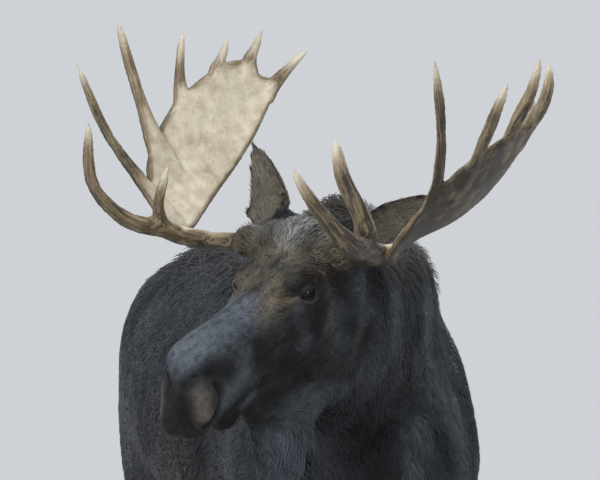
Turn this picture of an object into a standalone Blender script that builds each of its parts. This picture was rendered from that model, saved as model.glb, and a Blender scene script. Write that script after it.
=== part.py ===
"""A life-size bull moose, standing with the head turned to its own right.

Units are metres, +Z is up and the animal's body faces -Y, so its left side is at +X.
The origin is on the floor, under the middle of the animal's overall box.
The flesh is modelled whole, from lofted sections along each limb, and then parted with thin cuts.
Antlers, ears, eyes and claws are pieces of their own that meet it with a small gap.
"""

import math

import bmesh
import bpy
import numpy as np
from mathutils import Matrix, Vector

# Driving dimensions.
HUMP_HEIGHT = 1.858
HEAD_TURN = math.radians(54)
HEAD_DIP = math.radians(25)
HEAD_TILT = math.radians(6)
BROW_CENTRE = Vector((-0.313, -0.748, 1.727))
GAP = 0.0004
FLESH_VOXEL = 0.0105
FLESH_TRIANGLES = 3350
KEEP_STRENGTH = 0.02
EYE_RADIUS = 0.021
SIDES = {"left": 1, "right": -1}

COLOURS = {
    "coat": ((0.035, 0.028, 0.024), 0.7),
    "antler": ((0.46, 0.37, 0.26), 0.5),
    "horn": ((0.045, 0.036, 0.03), 0.4),
    "eye": ((0.012, 0.008, 0.006), 0.08),
}


def clear_scene():
    for old in list(bpy.data.objects):
        bpy.data.objects.remove(old, do_unlink=True)


def material(name):
    colour, roughness = COLOURS[name]
    made = bpy.data.materials.get(name) or bpy.data.materials.new(name)
    made.use_nodes = True
    shader = made.node_tree.nodes["Principled BSDF"]
    shader.inputs["Base Color"].default_value = (*colour, 1)
    shader.inputs["Roughness"].default_value = roughness
    shader.inputs["Metallic"].default_value = 0.0
    return made


def head_frame():
    """The head's own frame: X runs from the brow to the nose, Y to the animal's left, Z out of the forehead."""
    forward = Vector((0, -math.cos(HEAD_DIP), -math.sin(HEAD_DIP)))
    left = Vector((1, 0, 0))
    up = Vector((0, -math.sin(HEAD_DIP), math.cos(HEAD_DIP)))
    tilt = Matrix.Rotation(-HEAD_TILT, 3, forward)
    turn = Matrix.Rotation(-HEAD_TURN, 3, "Z")
    axes = [turn @ tilt @ axis for axis in (forward, left, up)]
    frame = Matrix(axes).transposed().to_4x4()
    return Matrix.Translation(BROW_CENTRE) @ frame


HEAD = head_frame()


# --- Tools ---------------------------------------------------------------------------------


def smooth_path(points, count):
    """count points, evenly spaced in number, on a centripetal-like cubic through all the given rows."""
    rows = np.array(points, float)
    tangents = np.gradient(rows, axis=0)
    places = np.linspace(0, len(rows) - 1, count)
    found = []
    for place in places:
        start = min(int(place), len(rows) - 2)
        t = place - start
        h00 = 2 * t**3 - 3 * t**2 + 1
        h10 = t**3 - 2 * t**2 + t
        h01 = 1 - h00
        h11 = t**3 - t**2
        found.append(
            h00 * rows[start] + h10 * tangents[start] + h01 * rows[start + 1] + h11 * tangents[start + 1]
        )
    return np.array(found)


def solid_from_rings(name, rings, finish, frame=None):
    """A closed solid lofted through rings of equal count, with a flat cap at each end."""
    shape = bmesh.new()
    loops = [[shape.verts.new(point) for point in ring] for ring in rings]
    around = len(loops[0])
    for low, high in zip(loops, loops[1:]):
        for i in range(around):
            j = (i + 1) % around
            shape.faces.new((low[i], low[j], high[j], high[i]))
    shape.faces.new(list(reversed(loops[0])))
    shape.faces.new(loops[-1])
    bmesh.ops.recalc_face_normals(shape, faces=shape.faces)
    if shape.calc_volume(signed=True) < 0:
        bmesh.ops.reverse_faces(shape, faces=shape.faces)
    mesh = bpy.data.meshes.new(name)
    shape.to_mesh(mesh)
    shape.free()
    if frame is not None:
        mesh.transform(frame)
    mesh.materials.append(material(finish))
    made = bpy.data.objects.new(name, mesh)
    bpy.context.scene.collection.objects.link(made)
    return made


def egg_ring(half_width, top, bottom, taper, square, around):
    """(across, up) points of a section that is narrower above its middle as taper grows."""
    middle, half_height = (top + bottom) / 2, (top - bottom) / 2
    points = []
    for i in range(around):
        angle = 2 * math.pi * (i + 0.5) / around
        c, s = math.cos(angle), math.sin(angle)
        across = math.copysign(abs(c) ** square, c) * half_width * (1 - taper * s)
        up = math.copysign(abs(s) ** square, s) * half_height
        points.append((across, middle + up))
    return points


def tube_rings(path, radii, around, flatten=1.0, flat_along=Vector((0, 0, 1))):
    """Rings square to a path. A ring is flatten times as thick along flat_along as across it."""
    path = [Vector(point) for point in path]
    rings = []
    for i, centre in enumerate(path):
        ahead = (path[min(i + 1, len(path) - 1)] - path[max(i - 1, 0)]).normalized()
        across = ahead.cross(flat_along).normalized()
        thick = across.cross(ahead).normalized()
        ring = []
        for k in range(around):
            angle = 2 * math.pi * k / around
            ring.append(
                centre
                + across * (math.cos(angle) * radii[i])
                + thick * (math.sin(angle) * radii[i] * flatten)
            )
        rings.append(ring)
    return rings


def ellipsoid(name, centre, radii, finish="coat", frame=None, segments=24, turn=None):
    mesh = bpy.data.meshes.new(name)
    shape = bmesh.new()
    bmesh.ops.create_uvsphere(shape, u_segments=segments, v_segments=segments // 2, radius=1)
    shape.to_mesh(mesh)
    shape.free()
    place = Matrix.Translation(centre) @ (turn or Matrix.Identity(4)) @ Matrix.Diagonal((*radii, 1))
    mesh.transform((frame or Matrix.Identity(4)) @ place)
    mesh.materials.append(material(finish))
    made = bpy.data.objects.new(name, mesh)
    bpy.context.scene.collection.objects.link(made)
    return made


def evaluated_mesh(thing):
    """Bakes an object's modifiers into its mesh."""
    graph = bpy.context.evaluated_depsgraph_get()
    graph.update()
    mesh = bpy.data.meshes.new_from_object(thing.evaluated_get(graph), depsgraph=graph)
    thing.modifiers.clear()
    thing.data = mesh
    return thing


def boolean(thing, other, operation):
    cut = thing.modifiers.new("cut", "BOOLEAN")
    cut.object = other
    cut.operation = operation
    cut.solver = "EXACT"
    return evaluated_mesh(thing)


def joined(name, things):
    """One object of several overlapping closed shapes, not yet united."""
    shape = bmesh.new()
    for thing in things:
        shape.from_mesh(thing.data)
    mesh = bpy.data.meshes.new(name)
    shape.to_mesh(mesh)
    shape.free()
    mesh.materials.append(things[0].data.materials[0])
    for thing in things:
        bpy.data.objects.remove(thing)
    made = bpy.data.objects.new(name, mesh)
    bpy.context.scene.collection.objects.link(made)
    return made


def swollen_copy(thing, by):
    copy = bpy.data.objects.new("swollen", thing.data.copy())
    bpy.context.scene.collection.objects.link(copy)
    swell = copy.modifiers.new("swell", "DISPLACE")
    swell.strength = by
    swell.mid_level = 0.0
    return evaluated_mesh(copy)


def trimmed(thing, by):
    """Cuts a piece back from its neighbour, leaving a hair of space between them."""
    cutter = swollen_copy(by, 2 * GAP)
    boolean(thing, cutter, "DIFFERENCE")
    bpy.data.objects.remove(cutter)
    return largest_body(thing)


def largest_body(thing):
    """Drops crumbs that a cut leaves beside the main body."""
    shape = bmesh.new()
    shape.from_mesh(thing.data)
    unseen = set(shape.verts)
    islands = []
    while unseen:
        todo, island = [unseen.pop()], []
        while todo:
            vert = todo.pop()
            island.append(vert)
            for edge in vert.link_edges:
                other = edge.other_vert(vert)
                if other in unseen:
                    unseen.remove(other)
                    todo.append(other)
        islands.append(island)
    islands.sort(key=len, reverse=True)
    crumbs = [vert for island in islands[1:] for vert in island]
    bmesh.ops.delete(shape, geom=crumbs, context="VERTS")
    shape.to_mesh(thing.data)
    shape.free()
    return thing


def cutting_box(centre, normal, size, depth, side_axis):
    """A box whose near face lies at centre, square to normal, and which reaches depth along normal.

    size is its extent along side_axis and along the direction square to both.
    """
    across = (side_axis - normal * side_axis.dot(normal)).normalized()
    other = normal.cross(across)
    mesh = bpy.data.meshes.new("cutter")
    shape = bmesh.new()
    bmesh.ops.create_cube(shape, size=1)
    shape.to_mesh(mesh)
    shape.free()
    turn = Matrix((across, other, normal)).transposed().to_4x4()
    place = Matrix.Translation(Vector(centre) + normal * depth / 2) @ turn
    mesh.transform(place @ Matrix.Diagonal((size[0], size[1], depth, 1)))
    made = bpy.data.objects.new("cutter", mesh)
    made.hide_render = True
    made.display_type = "WIRE"
    bpy.context.scene.collection.objects.link(made)
    return made


def parted(thing, name, centre, normal, size, depth, side_axis=Vector((1, 0, 0))):
    """Splits off, as a new object, what lies in a box beyond a plane, and leaves GAP at every cut."""
    normal = Vector(normal).normalized()
    new = bpy.data.objects.new(name, thing.data.copy())
    bpy.context.scene.collection.objects.link(new)
    centre = Vector(centre)
    inner_size = (size[0] - 2 * GAP, size[1] - 2 * GAP)
    inner = cutting_box(centre + normal * GAP, normal, inner_size, depth - 2 * GAP, side_axis)
    boolean(new, inner, "INTERSECT")
    outer = cutting_box(centre, normal, size, depth, side_axis)
    boolean(thing, outer, "DIFFERENCE")
    for cutter in (inner, outer):
        bpy.data.objects.remove(cutter)
    return largest_body(new)


# --- Flesh: trunk, neck, legs and head lofts ------------------------------------------------

# y, height of the back, height of the belly, half width, how much narrower it is above.
TRUNK = (
    (-0.500, 1.320, 1.130, 0.055, 0.10),
    (-0.455, 1.440, 1.055, 0.115, 0.18),
    (-0.350, 1.620, 0.995, 0.172, 0.30),
    (-0.200, 1.780, 0.955, 0.226, 0.40),
    (0.000, 1.858, 0.940, 0.258, 0.42),
    (0.160, 1.845, 0.945, 0.272, 0.40),
    (0.360, 1.760, 0.955, 0.296, 0.32),
    (0.590, 1.695, 0.965, 0.308, 0.24),
    (0.820, 1.668, 0.995, 0.308, 0.20),
    (1.030, 1.680, 1.045, 0.298, 0.19),
    (1.200, 1.668, 1.115, 0.274, 0.18),
    (1.340, 1.615, 1.190, 0.232, 0.14),
    (1.440, 1.530, 1.270, 0.170, 0.10),
    (1.490, 1.450, 1.340, 0.070, 0.00),
)
BACK_HEIGHT = HUMP_HEIGHT / TRUNK[4][1]

# Centre, half height and half width of the neck's sections, from inside the shoulders to the poll.
NECK = (
    (0.010, 0.120, 1.420, 0.370, 0.200),
    (0.000, -0.080, 1.435, 0.365, 0.192),
    (-0.040, -0.270, 1.455, 0.322, 0.166),
    (-0.105, -0.430, 1.505, 0.275, 0.158),
    (-0.170, -0.560, 1.555, 0.232, 0.150),
    (-0.235, -0.660, 1.585, 0.200, 0.138),
    (-0.285, -0.730, 1.600, 0.165, 0.120),
)

# Height, centre y, centre x, half depth, half width of the left foreleg.
FORELEG = (
    (1.420, 0.010, 0.170, 0.190, 0.085),
    (1.250, -0.010, 0.195, 0.175, 0.098),
    (1.080, -0.005, 0.200, 0.140, 0.094),
    (0.940, 0.010, 0.198, 0.108, 0.078),
    (0.800, 0.008, 0.195, 0.082, 0.066),
    (0.660, -0.002, 0.192, 0.063, 0.056),
    (0.580, -0.010, 0.190, 0.060, 0.056),
    (0.520, -0.010, 0.190, 0.060, 0.057),
    (0.455, -0.004, 0.190, 0.049, 0.047),
    (0.370, 0.002, 0.190, 0.039, 0.036),
    (0.240, 0.004, 0.190, 0.038, 0.035),
    (0.165, 0.006, 0.190, 0.049, 0.046),
    (0.125, -0.004, 0.190, 0.043, 0.046),
    (0.092, -0.018, 0.190, 0.049, 0.052),
    (0.072, -0.024, 0.190, 0.044, 0.048),
)

HINDLEG = (
    (1.520, 1.190, 0.105, 0.220, 0.085),
    (1.390, 1.195, 0.142, 0.262, 0.116),
    (1.230, 1.180, 0.165, 0.252, 0.122),
    (1.090, 1.150, 0.176, 0.212, 0.110),
    (0.970, 1.160, 0.176, 0.160, 0.090),
    (0.860, 1.222, 0.173, 0.116, 0.069),
    (0.765, 1.302, 0.168, 0.086, 0.055),
    (0.690, 1.350, 0.165, 0.073, 0.051),
    (0.612, 1.346, 0.163, 0.057, 0.047),
    (0.510, 1.330, 0.162, 0.045, 0.040),
    (0.320, 1.310, 0.162, 0.040, 0.037),
    (0.175, 1.298, 0.162, 0.049, 0.046),
    (0.130, 1.287, 0.162, 0.043, 0.046),
    (0.092, 1.273, 0.162, 0.049, 0.052),
    (0.072, 1.267, 0.162, 0.044, 0.048),
)

# How far each leg stands forward of an even stance.
STEPS = {
    ("fore", "left"): 0.050,
    ("fore", "right"): -0.030,
    ("hind", "left"): -0.060,
    ("hind", "right"): 0.060,
}
LEG_LIFT = 0.45

# Along the head: distance from the brow, forehead line, lower line, half width, narrowing above.
SKULL = (
    (-0.190, -0.010, -0.300, 0.095, 0.00),
    (-0.140, 0.016, -0.320, 0.120, 0.05),
    (-0.080, 0.034, -0.322, 0.124, 0.08),
    (-0.020, 0.036, -0.318, 0.122, 0.10),
    (0.040, 0.020, -0.312, 0.117, 0.10),
    (0.100, 0.000, -0.298, 0.108, 0.10),
    (0.160, -0.012, -0.280, 0.094, 0.12),
    (0.220, -0.016, -0.260, 0.080, 0.14),
    (0.280, -0.022, -0.235, 0.071, 0.12),
    (0.340, -0.034, -0.222, 0.068, 0.04),
    (0.400, -0.053, -0.228, 0.070, -0.05),
    (0.440, -0.075, -0.238, 0.073, -0.08),
    (0.473, -0.106, -0.239, 0.071, -0.05),
    (0.498, -0.143, -0.232, 0.062, 0.00),
    (0.517, -0.178, -0.220, 0.040, 0.00),
)

LOWER_JAW = (
    (0.040, -0.200, -0.312, 0.070, 0.0),
    (0.120, -0.200, -0.294, 0.058, 0.0),
    (0.210, -0.200, -0.268, 0.046, 0.0),
    (0.290, -0.205, -0.256, 0.040, 0.0),
    (0.340, -0.212, -0.268, 0.041, 0.0),
    (0.375, -0.220, -0.272, 0.038, 0.0),
    (0.395, -0.232, -0.262, 0.026, 0.0),
)


def trunk():
    rings = []
    for y, back, belly, half_width, taper in smooth_path(TRUNK, 40):
        ring = egg_ring(half_width, back * BACK_HEIGHT, belly, taper, 0.92, 32)
        rings.append([(x, y, z) for x, z in ring])
    return solid_from_rings("trunk_loft", rings, "coat")


def neck():
    rows = smooth_path(NECK, 22)
    rings = []
    for i, row in enumerate(rows):
        centre = Vector(row[:3])
        before, after = rows[max(i - 1, 0)], rows[min(i + 1, len(rows) - 1)]
        ahead = Vector(after[:3] - before[:3]).normalized()
        across = ahead.cross(Vector((0, 0, 1))).normalized()
        up = across.cross(ahead).normalized()
        ring = egg_ring(row[4], row[3], -row[3], -0.08, 0.95, 28)
        rings.append([centre + across * a + up * b for a, b in ring])
    return solid_from_rings("neck_loft", rings, "coat")


def leg(stations, side, step):
    """One leg. Its foot stands step ahead of the even stance, and the shift fades out towards the body."""
    rings = []
    for z, y, x, half_depth, half_width in smooth_path(stations, 44):
        share = min(max((1.25 - z) / LEG_LIFT, 0), 1)
        shift = -step * share
        ring = egg_ring(half_width, half_depth, -half_depth, 0.0, 0.95, 20)
        rings.append([(SIDES[side] * (x + a), y + shift + b, z) for a, b in ring])
    return solid_from_rings("leg_loft", rings, "coat")


def muscles():
    """Shoulder blades, haunches and points of the elbow, as ellipsoids that swell the lofts."""
    made = []
    for side in SIDES.values():
        made.append(ellipsoid("shoulder", (side * 0.168, -0.085, 1.285), (0.104, 0.225, 0.285)))
        made.append(ellipsoid("haunch", (side * 0.142, 1.170, 1.385), (0.135, 0.290, 0.240)))
        made.append(ellipsoid("elbow", (side * 0.185, 0.085, 1.075), (0.075, 0.105, 0.120)))
    return made


def head_loft(name, stations, square, around=28, count=34):
    rings = []
    for f, top, bottom, half_width, taper in smooth_path(stations, count):
        ring = egg_ring(half_width, top, bottom, taper, square, around)
        rings.append([(f, a, b) for a, b in ring])
    return solid_from_rings(name, rings, "coat", HEAD)


def head_bumps():
    """Brow ridge, nose, pedicles, eye sockets, cheek muscles, nostrils and the roots of the ears."""
    made = [ellipsoid("brow_ridge", (-0.030, 0, 0.010), (0.070, 0.100, 0.042), frame=HEAD)]
    made.append(ellipsoid("nose", (0.456, 0, -0.158), (0.056, 0.066, 0.062), frame=HEAD))
    for side in SIDES.values():
        path = ((-0.005, side * 0.050, 0.000), (0.000, side * 0.138, 0.000))
        rings = tube_rings(smooth_path(path, 5), [0.052, 0.048, 0.043, 0.038, 0.034], 18)
        made.append(solid_from_rings("pedicle", rings, "coat", HEAD))
        made.append(ellipsoid("orbit", (0.108, side * 0.070, -0.052), (0.082, 0.047, 0.058), frame=HEAD))
        made.append(ellipsoid("cheek", (0.060, side * 0.068, -0.195), (0.125, 0.048, 0.095), frame=HEAD))
        made.append(ellipsoid("nostril", (0.442, side * 0.046, -0.158), (0.054, 0.032, 0.050), frame=HEAD))
        made.append(ellipsoid("ear_root", (-0.088, side * 0.082, 0.000), (0.040, 0.042, 0.040), frame=HEAD))
    return made


# The bell hangs straight down from the throat, so it is set in the row's own axes.
BELL_ROOT = HEAD @ Vector((0.140, 0, -0.270))
BELL = (
    (0.050, 0.150, 0.060),
    (0.000, 0.148, 0.064),
    (-0.070, 0.125, 0.062),
    (-0.150, 0.095, 0.054),
    (-0.230, 0.065, 0.042),
    (-0.300, 0.032, 0.022),
)


def bell():
    """The flap of skin and long hair under the throat, longest along the line of the head."""
    along = (HEAD.to_3x3() @ Vector((1, 0, 0))).xy.normalized()
    rings = []
    for drop, half_long, half_wide in smooth_path(BELL, 12):
        ring = egg_ring(half_wide, half_long, -half_long, 0, 1.0, 18)
        rings.append(
            [
                (
                    BELL_ROOT.x + along.x * b - along.y * a,
                    BELL_ROOT.y + along.y * b + along.x * a,
                    BELL_ROOT.z + drop - 0.25 * b,
                )
                for a, b in ring
            ]
        )
    return solid_from_rings("bell_loft", rings, "coat")


def whole_flesh():
    """Every loft grown together into one smooth skin of about FLESH_TRIANGLES, finest on the head."""
    parts = [trunk(), neck(), bell(), *muscles()]
    for side in SIDES:
        parts.append(leg(FORELEG, side, STEPS["fore", side]))
        parts.append(leg(HINDLEG, side, STEPS["hind", side]))
    parts.append(head_loft("skull_loft", SKULL, 0.9))
    parts.append(head_loft("jaw_loft", LOWER_JAW, 0.9, around=16, count=14))
    parts += head_bumps()
    flesh = joined("flesh", parts)
    remesh = flesh.modifiers.new("grow", "REMESH")
    remesh.mode = "VOXEL"
    remesh.voxel_size = FLESH_VOXEL
    evaluated_mesh(flesh)
    keep_detail = flesh.vertex_groups.new(name="keep")
    inverse = HEAD.inverted()
    for vert in flesh.data.vertices:
        local = inverse @ vert.co
        on_head = local.x > -0.12 and abs(local.y) < 0.2 and local.z > -0.33
        weight = 0.9 if on_head else 0.3 if vert.co.z < 0.9 else 0.0
        keep_detail.add([vert.index], weight, "REPLACE")
    even = flesh.modifiers.new("even", "SMOOTH")
    even.factor = 0.5
    even.iterations = 7
    thin = flesh.modifiers.new("thin", "DECIMATE")
    thin.ratio = FLESH_TRIANGLES / (2 * len(flesh.data.polygons))
    thin.vertex_group = "keep"
    thin.vertex_group_factor = KEEP_STRENGTH
    thin.invert_vertex_group = True
    evaluated_mesh(flesh)
    flesh.vertex_groups.clear()
    return flesh


# --- Antlers ---------------------------------------------------------------------------------

# Places on the left antler in the head's frame. The right one has the same beam, mirrored.
BEAM = ((0.000, 0.126, 0.000), (0.004, 0.185, -0.004), (0.012, 0.235, -0.006), (0.022, 0.290, 0.000))
BEAM_RADIUS = 0.0205
BURR_SEAT = (0.0, 0.129, 0.0)
BURR = ((0.0, 0.118, 0.0), (0.0, 0.134, 0.0), (0.001, 0.147, -0.001), (0.002, 0.160, -0.002))
BURR_RADII = (0.030, 0.037, 0.034, 0.020)
BROW_STEM = ((0.010, 0.240, -0.004), (0.068, 0.272, 0.034), (0.126, 0.284, 0.092))

# The palm is a blade between its lower edge and the line of hollows between the tines.
PALM_NORMAL = Vector((-0.10, 0.88, -0.47))
PALM_LOWER = {
    "left": (
        (0.040, 0.285, 0.000),
        (-0.060, 0.312, 0.008),
        (-0.160, 0.332, 0.028),
        (-0.280, 0.348, 0.056),
        (-0.380, 0.354, 0.098),
        (-0.482, 0.360, 0.158),
    ),
    "right": (
        (0.040, 0.285, 0.000),
        (-0.060, 0.316, 0.002),
        (-0.160, 0.338, 0.018),
        (-0.280, 0.357, 0.040),
        (-0.380, 0.364, 0.080),
        (-0.482, 0.366, 0.144),
    ),
}
PALM_UPPER = {
    "left": (
        (0.045, 0.310, 0.022),
        (-0.056, 0.412, 0.176),
        (-0.189, 0.460, 0.214),
        (-0.292, 0.446, 0.196),
        (-0.404, 0.394, 0.156),
        (-0.484, 0.374, 0.162),
    ),
    "right": (
        (0.045, 0.308, 0.018),
        (-0.026, 0.412, 0.120),
        (-0.173, 0.461, 0.184),
        (-0.302, 0.450, 0.220),
        (-0.422, 0.424, 0.222),
        (-0.456, 0.392, 0.164),
        (-0.492, 0.374, 0.152),
    ),
}
PALM_DISH = 0.012
PALM_THICK = 0.011
RIM_THICK = 0.018

# A brow tine is four places from root to tip, and its width where it is broadest.
BROW_TINES = {
    "left": (
        ((0.100, 0.280, 0.065), (0.190, 0.302, 0.130), (0.256, 0.310, 0.236), (0.278, 0.282, 0.360), 0.036),
        ((0.096, 0.280, 0.070), (0.108, 0.268, 0.150), (0.086, 0.246, 0.240), (0.054, 0.224, 0.316), 0.041),
    ),
    "right": (
        ((0.100, 0.280, 0.065), (0.186, 0.304, 0.124), (0.254, 0.317, 0.246), (0.258, 0.283, 0.402), 0.038),
        ((0.100, 0.280, 0.070), (0.112, 0.272, 0.120), (0.112, 0.250, 0.170), (0.102, 0.224, 0.226), 0.029),
    ),
}
# A palm tine starts at a share of the palm's length and height, and then has three places,
# the width of its shaft, and how much its root spreads into the palm.
PALM_TINES = {
    "left": (
        (0.10, 0.30, (-0.040, 0.398, 0.175), (-0.036, 0.448, 0.330), (-0.009, 0.488, 0.503), 0.031, 0.8),
        (0.30, 0.50, (-0.132, 0.448, 0.205), (-0.148, 0.502, 0.300), (-0.168, 0.546, 0.382), 0.030, 1.6),
        (0.50, 0.50, (-0.262, 0.455, 0.215), (-0.312, 0.480, 0.275), (-0.355, 0.497, 0.350), 0.030, 1.6),
        (0.68, 0.50, (-0.346, 0.424, 0.175), (-0.370, 0.426, 0.205), (-0.390, 0.428, 0.240), 0.028, 1.2),
        (0.82, 0.50, (-0.470, 0.376, 0.156), (-0.530, 0.362, 0.186), (-0.578, 0.340, 0.220), 0.028, 0.4),
    ),
    "right": (
        (0.06, 0.30, (0.006, 0.398, 0.118), (0.015, 0.466, 0.245), (0.036, 0.488, 0.423), 0.031, 0.7),
        (0.24, 0.50, (-0.108, 0.445, 0.195), (-0.148, 0.500, 0.310), (-0.189, 0.546, 0.420), 0.033, 1.4),
        (0.42, 0.50, (-0.245, 0.456, 0.210), (-0.290, 0.480, 0.268), (-0.344, 0.497, 0.330), 0.027, 1.9),
        (0.58, 0.55, (-0.362, 0.438, 0.220), (-0.388, 0.436, 0.248), (-0.411, 0.430, 0.280), 0.026, 1.9),
        (0.74, 0.55, (-0.440, 0.408, 0.208), (-0.462, 0.400, 0.238), (-0.486, 0.388, 0.274), 0.026, 1.2),
        (0.86, 0.46, (-0.468, 0.376, 0.142), (-0.516, 0.362, 0.164), (-0.562, 0.340, 0.190), 0.029, 0.4),
    ),
}
# Share of the way from tip to root against share of the full width, and against the spread.
TINE_PROFILE = ((0.0, 0.05, 0.20, 0.45, 0.75, 1.0), (0.16, 0.40, 0.60, 0.80, 1.0, 1.15))
ROOT_SPREAD = ((0.0, 0.50, 0.66, 0.80, 1.0), (0.0, 0.0, 0.35, 0.85, 1.2))
BROW_FORK = (0.072, 0.262, 0.036)
PALM_FORK = (0.014, 0.258, -0.004)
ANTLER_VOXEL = 0.0036
ANTLER_TRIANGLES = 940


def mirrored(points, side):
    return [(f, SIDES[side] * a, d) for f, a, d in points]


def tine(points, side, width, spread=None, rings=14, around=12):
    """A tapering spike along a smooth line. With a spread, it has a flat root that fans into the palm."""
    path = [Vector(point) for point in smooth_path(points, rings)]
    made = []
    for i, centre in enumerate(path):
        share = 1 - i / (rings - 1)
        broad = width * float(np.interp(share, *TINE_PROFILE)) / 2
        thin = broad * 0.94
        if spread is not None:
            thin = min(thin, 0.014 - 0.008 * share**2)
            broad += width * spread * float(np.interp(share, *ROOT_SPREAD)) / 2
        ahead = (path[min(i + 1, rings - 1)] - path[max(i - 1, 0)]).normalized()
        across = ahead.cross(PALM_NORMAL).normalized()
        normal = across.cross(ahead).normalized()
        ring = []
        for k in range(around):
            angle = 2 * math.pi * k / around
            ring.append(centre + across * (math.cos(angle) * broad) + normal * (math.sin(angle) * thin))
        made.append(mirrored(ring, side))
    return solid_from_rings("tine", made, "antler", HEAD)


def blade_rows(side, count):
    """Across count rows of the palm: its lower and upper edge and the direction square to it."""
    low, high = smooth_path(PALM_LOWER[side], count), smooth_path(PALM_UPPER[side], count)
    length = np.gradient((low + high) / 2, axis=0)
    normal = np.cross(length, high - low)
    normal /= np.linalg.norm(normal, axis=1)[:, None]
    normal *= np.sign(normal @ np.array(PALM_NORMAL))[:, None]
    return low, high, normal


def blade_point(low, high, normal, share):
    """A place on the middle of the dished blade, share of the way from its lower edge to its upper one."""
    dish = PALM_DISH * math.sin(math.pi * share) * min(1, np.linalg.norm(high - low) / 0.2)
    return low + (high - low) * share + normal * dish


def palm_blade(side):
    """The dished blade: flat rings from its lower edge to the hollows, from beam to back."""
    rings = []
    shares = (0.0, 0.06, 0.28, 0.55, 0.82, 0.96, 1.0)
    for low, high, normal in zip(*blade_rows(side, 17)):
        outer, inner = [], []
        for share in shares:
            middle = blade_point(low, high, normal, share)
            rim = abs(2 * share - 1) ** 3
            thick = (PALM_THICK * (1 - rim) + RIM_THICK * rim) / 2
            thick *= 0.6 if share in (0.0, 1.0) else 1.0
            outer.append(middle + normal * thick)
            inner.append(middle - normal * thick)
        rings.append(mirrored(outer + inner[::-1], side))
    return solid_from_rings("blade", rings, "antler", HEAD)


def antler(side, head):
    """Three nodes: the beam with its burr, the brow branch with two tines, and the palm with the rest."""
    beam_path = smooth_path(mirrored(BEAM, side), 9)
    burr_path = mirrored(BURR, side)
    stem_path = smooth_path(mirrored(BROW_STEM, side), 7)
    parts = [
        solid_from_rings("beam", tube_rings(beam_path, [BEAM_RADIUS] * 9, 14), "antler", HEAD),
        solid_from_rings("burr", tube_rings(burr_path, BURR_RADII, 16), "antler", HEAD),
        solid_from_rings("stem", tube_rings(stem_path, [0.021] * 7, 12), "antler", HEAD),
        palm_blade(side),
    ]
    for row in BROW_TINES[side]:
        parts.append(tine(row[:4], side, row[4]))
    rows = blade_rows(side, 101)
    for along, height, *row in PALM_TINES[side]:
        root = blade_point(*(edge[round(100 * along)] for edge in rows), height)
        parts.append(tine([root, *row[:3]], side, *row[3:]))
    whole = joined(f"antler_{side}_beam", parts)
    remesh = whole.modifiers.new("grow", "REMESH")
    remesh.mode = "VOXEL"
    remesh.voxel_size = ANTLER_VOXEL
    even = whole.modifiers.new("even", "SMOOTH")
    even.factor = 0.5
    even.iterations = 6
    evaluated_mesh(whole)
    thin = whole.modifiers.new("thin", "DECIMATE")
    thin.ratio = ANTLER_TRIANGLES / (2 * len(whole.data.polygons))
    evaluated_mesh(whole)
    to_left = HEAD.to_3x3() @ Vector((0, 1, 0))
    outward = to_left * SIDES[side]
    seat = HEAD @ Vector(mirrored([BURR_SEAT], side)[0])
    cutter = cutting_box(seat, outward, (0.14, 0.14), 0.10, HEAD.to_3x3() @ Vector((1, 0, 0)))
    boolean(head, cutter, "DIFFERENCE")
    bpy.data.objects.remove(cutter)
    largest_body(head)
    cutter = cutting_box(seat + outward * GAP, -outward, (0.14, 0.14), 0.10, HEAD.to_3x3() @ Vector((1, 0, 0)))
    boolean(whole, cutter, "DIFFERENCE")
    bpy.data.objects.remove(cutter)
    aim = HEAD.to_3x3() @ Vector((0.75, SIDES[side] * 0.15, 0.62))
    fork = HEAD @ Vector(mirrored([BROW_FORK], side)[0])
    brow = parted(whole, f"antler_{side}_brow", fork, aim, (0.19, 0.60), 0.60, to_left)
    aim = HEAD.to_3x3() @ Vector((0.08, SIDES[side], 0.0))
    fork = HEAD @ Vector(mirrored([PALM_FORK], side)[0])
    palm = parted(whole, f"antler_{side}_palm", fork, aim, (1.6, 1.6), 0.60)
    return [whole, brow, palm]


# --- Ears, eyes, feet and tail -----------------------------------------------------------------

EAR_LENGTH = 0.225
EAR_ROOT = {"left": (-0.088, 0.084, -0.008), "right": (-0.088, 0.100, 0.000)}
EAR_AIM = {"left": (-0.130, 0.112, 0.036), "right": (-0.109, 0.122, 0.126)}
EAR_FACES = {"left": (0.75, 0.25, -0.10), "right": (0.85, 0.00, 0.20)}
EAR_PROFILE = ((0.0, 0.15, 0.32, 0.50, 0.70, 0.88, 1.0), (0.024, 0.037, 0.042, 0.037, 0.027, 0.015, 0.004))
EYE_PLACE = (0.114, 0.105, -0.047)


def ear(side, head):
    """A leaf-shaped cup: a wide rolled blade that narrows to its tip and closes at its root."""
    aim = Vector(mirrored([EAR_AIM[side]], side)[0]).normalized()
    face = Vector(mirrored([EAR_FACES[side]], side)[0])
    face = (face - aim * face.dot(aim)).normalized()
    across = aim.cross(face)
    root = Vector(mirrored([EAR_ROOT[side]], side)[0])
    rings = []
    count = 8
    for i in range(count):
        along = i / (count - 1)
        half_width = float(np.interp(along, *EAR_PROFILE))
        roll = half_width * (0.95 - 0.5 * along)
        thick = 0.0055 * (1 - 0.6 * along)
        centre = root + aim * (EAR_LENGTH * along) - face * (0.012 * math.sin(math.pi * along))
        back, front = [], []
        for k in range(7):
            share = k / 3 - 1
            place = centre + across * (half_width * math.sin(share * 1.35) / math.sin(1.35))
            depth = roll * (share**2 - 0.5)
            back.append(place + face * (depth - thick))
            front.append(place + face * (depth + thick))
        rings.append(back + front[::-1])
    made = solid_from_rings(f"ear_{side}", rings, "coat", HEAD)
    return trimmed(made, head)


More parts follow.
